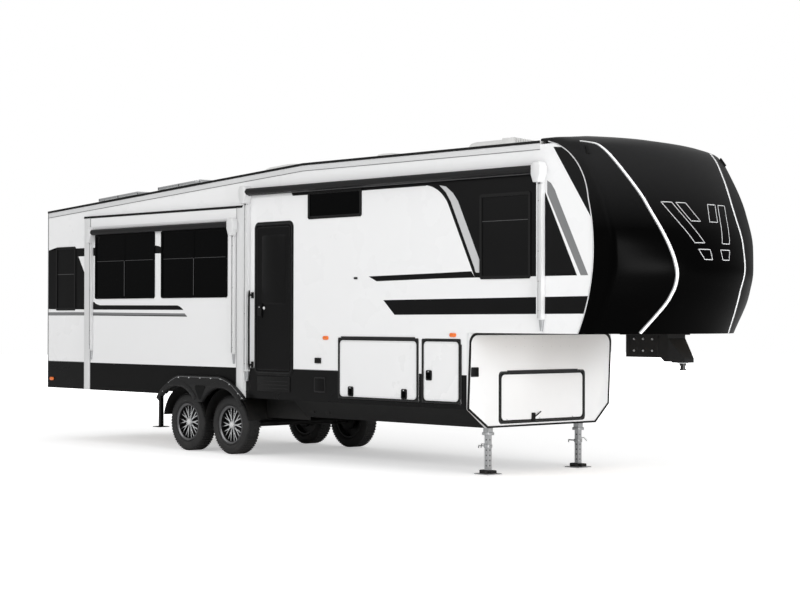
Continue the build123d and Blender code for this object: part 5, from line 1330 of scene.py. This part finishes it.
coolers = []
for station, high in ((4.3, 0.235), (8.3, 0.189)):
    shell = shroud("shroud", 0.720, 0.640, high, 0.09)
    slats = blocks("slats", [about((0.06 * k - 0.2275, s * 0.306, 0.09), (0.0125, 0.004, 0.04))
                             for k in range(9) for s in (-1, 1)], 0.002)
    cooler = join("cooler", [shell, slats])
    cooler.data.transform(on_roof(station, 0))
    coolers.append(cooler)
fit(join("cooler_shrouds", coolers), ROOF_PLASTIC, stands_for=["air_conditioners"])
pieces = []
for station, y, high in ((1.0, 0.5, 0.078), (6.7, -0.35, 0.130), (9.4, 0.0, 0.078)):
    lid = shroud("lid", 0.36, 0.36, high, 0.03)
    lid.data.transform(on_roof(station, y))
    pieces.append(lid)
fit(join("vent_lids", pieces), ROOF_PLASTIC, stands_for=["roof_vents"])
print("shrouds:", len(coolers), "lids:", len(pieces))

# %% Pipes, dome, ribbed stack and the panels' frames
extras = []
PIPES = ((2.3, 0.55, 0.035, 0.09), (5.6, 0.40, 0.035, 0.09), (7.6, -0.60, 0.06, 0.05), (7.4, 0.5, 0.035, 0.09))
for station, y, radius, high in PIPES:
    profile = [(0, 0), (0, radius * 1.6), (0.008, radius * 1.6), (0.012, radius), (high * 0.7, radius),
               (high * 0.72, radius * 1.3), (high * 0.9, radius * 1.25), (high, 0)]
    pipe = lathe("pipe", profile, (0, 0, 0), (0, 0, 1), 24)
    pipe.data.transform(on_roof(station, y))
    extras.append(pipe)
DOME = [(0, 0), (0, 0.20), (0.03, 0.20), (0.06, 0.17), (0.085, 0.10), (0.09, 0)]
dome = lathe("dome", DOME, (0, 0, 0), (0, 0, 1), 40)
dome.data.transform(on_roof(5.35, -0.55))
fit(join("roof_fittings", extras + [dome]), ROOF_PLASTIC)
stack = blocks("stack", [((-0.10, -0.16 + 0.04 * k, 0.0), (0.10, -0.135 + 0.04 * k, 0.165 - 0.002 * k))
                         for k in range(9)], 0.004)
stack.data.transform(on_roof(8.9, -0.35))
fit(stack, ROOF_PLASTIC)
racks = []
for start, end, lift in ((1.25, 3.00, 0.17), (3.25, 4.60, 0.215)):
    middle, half = (start + end) / 2, (end - start) / 2
    legs = [about((u, y, lift / 2), (0.012, 0.012, lift / 2)) for u in (-half + 0.1, 0.0, half - 0.1)
            for y in (-0.22, 0.22)]
    rack = blocks("rack", [about((0, 0, lift + 0.011), (half, 0.25, 0.011)), *legs], 0.002)
    rack.data.transform(on_roof(middle, 0.30))
    racks.append(rack)
fit(join("roof_racks", racks), ROOF_PLASTIC)
frames = []
for station in (1.5, 3.0):
    rails = [about((0, s * 0.318, 0.07775), (0.5005, 0.012, 0.01975)) for s in (-1, 1)]
    rails += [about((s * 0.492, 0, 0.07775), (0.010, 0.33, 0.01975)) for s in (-1, 0, 1)]
    frame_piece = blocks("panel_frame", rails, 0.002)
    frame_piece.data.transform(on_roof(station, -0.65))
    frames.append(frame_piece)
fit(join("panel_frames", frames), BRIGHT)
print("roof fittings:", len(extras) + 1)

# %% [markdown]
# ## Rear end and running gear
# The photo hides the rear, so it follows the type: lens trim, bumper caps, a ladder with ribbed treads.
# Below the floor, U-bolts, drums and shackle pins are what makes a plain beam look like an axle.

# %% Rear details
def on_rear(name, loops, material, depth, lift=0.0, ease=0.0):
    piece = sheet(name, loops, depth, front_place(REAR - lift, depth, -1), ease)
    return fit(piece, material)


for side in (RIGHT, LEFT):
    y = side * 1.080
    rings = [around(y, 1.300, 0.085, 0.130, 0.012), around(y, 1.300, 0.072, 0.117, 0.008)]
    on_rear("lamp_bezel_" + HAND[side], rings, ENAMEL, 0.028, 0, 0.004)
    on_rear("reverse_lens_" + HAND[side], [rectangle(y - 0.066, y + 0.066, 1.190, 1.235, 0.004)], VINYL_WHITE, 0.004,
            0.022, 0.001)
    end_box = about((REAR - 0.09775, side * 1.002, 0.815), (0.05175, 0.008, 0.054))
    cap_end = blocks("bumper_cap_" + HAND[side], [end_box], 0.004)
    fit(cap_end, TRIM_BLACK)
EDGE = SIDE_FACE - 0.01
on_rear("rear_graphic", [rectangle(-EDGE, EDGE, 1.931, 2.806), rectangle(-0.545, 0.545, 2.065, 2.735, 0.02)],
        VINYL_BLACK, VINYL)
on_rear("rear_line_low", [rectangle(-EDGE, EDGE, 1.837, 1.885)], VINYL_GREY, VINYL)
on_rear("plate_holder", [rectangle(-0.85, -0.55, 0.98, 1.13, 0.01)], TRIM_BLACK, 0.01, 0, 0.002)
ribs = blocks("tread_ribs", [about((at(-0.090) + u, 0.7, 1.012 + 0.29 * (i + 0.4)), (0.002, 0.174, 0.0015))
                             for i in range(8) for u in (-0.016, -0.008, 0.0, 0.008, 0.016)])
fit(ribs, ZINC)
print("rear done")

# %% Axles and springs
RAIL_Y = 0.705
AXLE_X = [sum(corner[0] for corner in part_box("axle_" + end)) / 2 for end in ("rear", "front")]
for end, x in zip(("rear", "front"), AXLE_X):
    pieces = []
    for side in (RIGHT, LEFT):
        drum = [(0.0, 0.045), (0.0, 0.125), (0.006, 0.145), (0.050, 0.145), (0.050, 0.045)]
        pieces.append(lathe("drum", drum, (x, side * 0.905, WHEEL_R), (0, side, 0), 40))
        for u in (-0.050, 0.050):
            legs = [(x + u, side * RAIL_Y + w, WHEEL_R + h)
                    for w, h in ((-0.036, -0.045), (-0.036, 0.115), (0.036, 0.115), (0.036, -0.045))]
            pieces.append(tube("u_bolt", legs, 0.006, 2))
        pieces.append(blocks("tie_plate", [about((x, side * RAIL_Y, WHEEL_R - 0.0445), (0.07, 0.045, 0.0055))], 0.002))
    fit(join("axle_hardware_" + end, pieces), CHASSIS_BLACK)
tank = blocks("tank_cover", [((at(2.55), -0.655, 0.600), (at(5.735), 0.655, 0.7645))], 0.03)
fit(tank, CHASSIS_BLACK)
flaps = [about((at(5.30), side * 0.88, 0.635), (0.45, 0.004, 0.135)) for side in (RIGHT, LEFT)]
fit(blocks("step_brackets", flaps), CHASSIS_BLACK)
wells = []
for ahead in (-AXLE_HALF, AXLE_HALF):
    liner = from_mid(arc((ahead, WHEEL_R), 0.489, 10, 170, 24) + arc((ahead, WHEEL_R), 0.484, 170, 10, 24))
    wells += [loft("well", [[(at(s), side * y, z) for s, z in liner] for y in (0.80, SLIDE_FACE - 0.085)])
              for side in (RIGHT, LEFT)]
fit(join("wheel_wells", wells), CHASSIS_BLACK)
pins = [((at(s), side * (RAIL_Y + 0.038), 0.53), (0, side, 0)) for s in (3.028, 3.828, 3.988, 4.788)
        for side in (RIGHT, LEFT)]
studs("shackle_pins", pins, ZINC, 0.014, 0.014, 6)
pipes = [tube("drain", [(at(s), -0.55, 0.70), (at(s), -0.95, 0.66), (at(s), -1.02, 0.62)], 0.038, 4)
         for s in (5.95, 6.25)]
fit(join("drain_pipes", pipes), TRIM_BLACK)
print("running gear done")

# %% [markdown]
# ## Camera, floor and light
# The photo was taken from the front right at eye height with a long lens. The camera stands where the
# photo's straight edges say, and the light is a bright, even studio with a broad key from the right.

# %% Camera
CAMERA_STATION, CAMERA_Y, CAMERA_Z = 23.886, -15.925, 1.8
AZIMUTH, PITCH, ROLL = math.radians(47.55), math.radians(0.58), math.radians(0.11)
FOCAL_PIXELS, IMAGE_WIDTH, SENSOR = 1840.0, 800.0, 36.0


def camera_axes():
    forward = Vector((-math.sin(AZIMUTH) * math.cos(PITCH), math.cos(AZIMUTH) * math.cos(PITCH), math.sin(PITCH)))
    right = Vector((math.cos(AZIMUTH), math.sin(AZIMUTH), 0))
    up = right.cross(forward)
    return (right * math.cos(ROLL) + up * math.sin(ROLL), up * math.cos(ROLL) - right * math.sin(ROLL), forward)


view_right, view_up, view_forward = camera_axes()
camera_data = bpy.data.cameras.new("photo_camera")
camera_data.sensor_width = SENSOR
camera_data.lens = SENSOR * FOCAL_PIXELS / IMAGE_WIDTH
camera_data.clip_end = 200.0
camera = bpy.data.objects.new("photo_camera", camera_data)
collection.objects.link(camera)
turn = Matrix((view_right, view_up, -view_forward)).transposed().to_4x4()
camera.matrix_world = Matrix.Translation((at(CAMERA_STATION), CAMERA_Y, CAMERA_Z)) @ turn
scene.camera = camera
scene.view_settings.view_transform = "Standard"
print("lens", round(camera_data.lens, 1), "mm")

# %% Floor, world and lamps
FLOOR_REACH, FLOOR_LIFT = 60.0, 0.42


def stage_material():
    """A pale floor that keeps the shadow. To the camera it is lifted to the background, fully so far away."""
    material = bpy.data.materials.new("studio_floor")
    material.use_nodes = True
    tree = material.node_tree
    shader = tree.nodes["Principled BSDF"]
    shader.inputs["Base Color"].default_value = (0.93, 0.93, 0.93, 1)
    shader.inputs["Roughness"].default_value = 0.9
    shader.inputs["Specular IOR Level"].default_value = 0.1
    place = add_node(tree, "ShaderNodeTexCoord")
    reach = add_node(tree, "ShaderNodeVectorMath", {0: place.outputs["Object"]}, operation="LENGTH")
    far = add_node(tree, "ShaderNodeMapRange", {"Value": reach.outputs["Value"], "From Min": 7.0, "From Max": 14.0,
                   "To Min": FLOOR_LIFT, "To Max": 1.2}, interpolation_type="SMOOTHSTEP")
    path = add_node(tree, "ShaderNodeLightPath")
    seen = add_node(tree, "ShaderNodeMath", {0: far.outputs[0], 1: path.outputs["Is Camera Ray"]},
                    operation="MULTIPLY")
    glow = add_node(tree, "ShaderNodeEmission", {"Color": (1, 1, 1, 1), "Strength": seen.outputs[0]})
    both = add_node(tree, "ShaderNodeAddShader", {0: shader.outputs[0], 1: glow.outputs[0]})
    tree.links.new(both.outputs[0], tree.nodes["Material Output"].inputs["Surface"])
    return material


def studio_world():
    world = bpy.data.worlds.new("studio")
    scene.world = world
    world.use_nodes = True
    tree = world.node_tree
    tree.nodes.clear()
    place = add_node(tree, "ShaderNodeTexCoord")
    split = add_node(tree, "ShaderNodeSeparateXYZ", {0: place.outputs["Generated"]})
    height = add_node(tree, "ShaderNodeMapRange", {"Value": split.outputs["Z"], "From Min": -0.1, "From Max": 0.6,
                      "To Min": 0.22, "To Max": 0.66})
    light = add_node(tree, "ShaderNodeBackground", {"Color": (1, 1, 1, 1), "Strength": height.outputs[0]})
    seen = add_node(tree, "ShaderNodeBackground", {"Color": (1, 1, 1, 1), "Strength": 1.0})
    path = add_node(tree, "ShaderNodeLightPath")
    mix = add_node(tree, "ShaderNodeMixShader", {0: path.outputs["Is Camera Ray"], 1: light.outputs[0],
                   2: seen.outputs[0]})
    out = add_node(tree, "ShaderNodeOutputWorld")
    tree.links.new(mix.outputs[0], out.inputs["Surface"])


def area_lamp(name, where, look_at, size, power):
    data = bpy.data.lights.new(name, "AREA")
    data.shape = "RECTANGLE"
    data.size, data.size_y = size
    data.energy = power
    lamp = bpy.data.objects.new(name, data)
    collection.objects.link(lamp)
    lamp.location = where
    lamp.rotation_euler = (Vector(look_at) - Vector(where)).to_track_quat("-Z", "Y").to_euler()


floor_mesh = bpy.data.meshes.new("studio_floor")
floor_mesh.from_pydata([(x, y, 0) for x, y in ((-1, -1), (1, -1), (1, 1), (-1, 1))], [], [(0, 1, 2, 3)])
floor_mesh.transform(Matrix.Scale(FLOOR_REACH, 4))
floor = link("studio_floor", floor_mesh)
floor.data.materials.append(stage_material())
studio_world()
area_lamp("key", (-2.0, -16.0, 8.5), (-1.5, 0, 1.8), (20.0, 7.0), 975.0)
area_lamp("front", (18.0, -3.0, 2.8), (5.0, 0, 1.4), (9.0, 4.5), 1780.0)
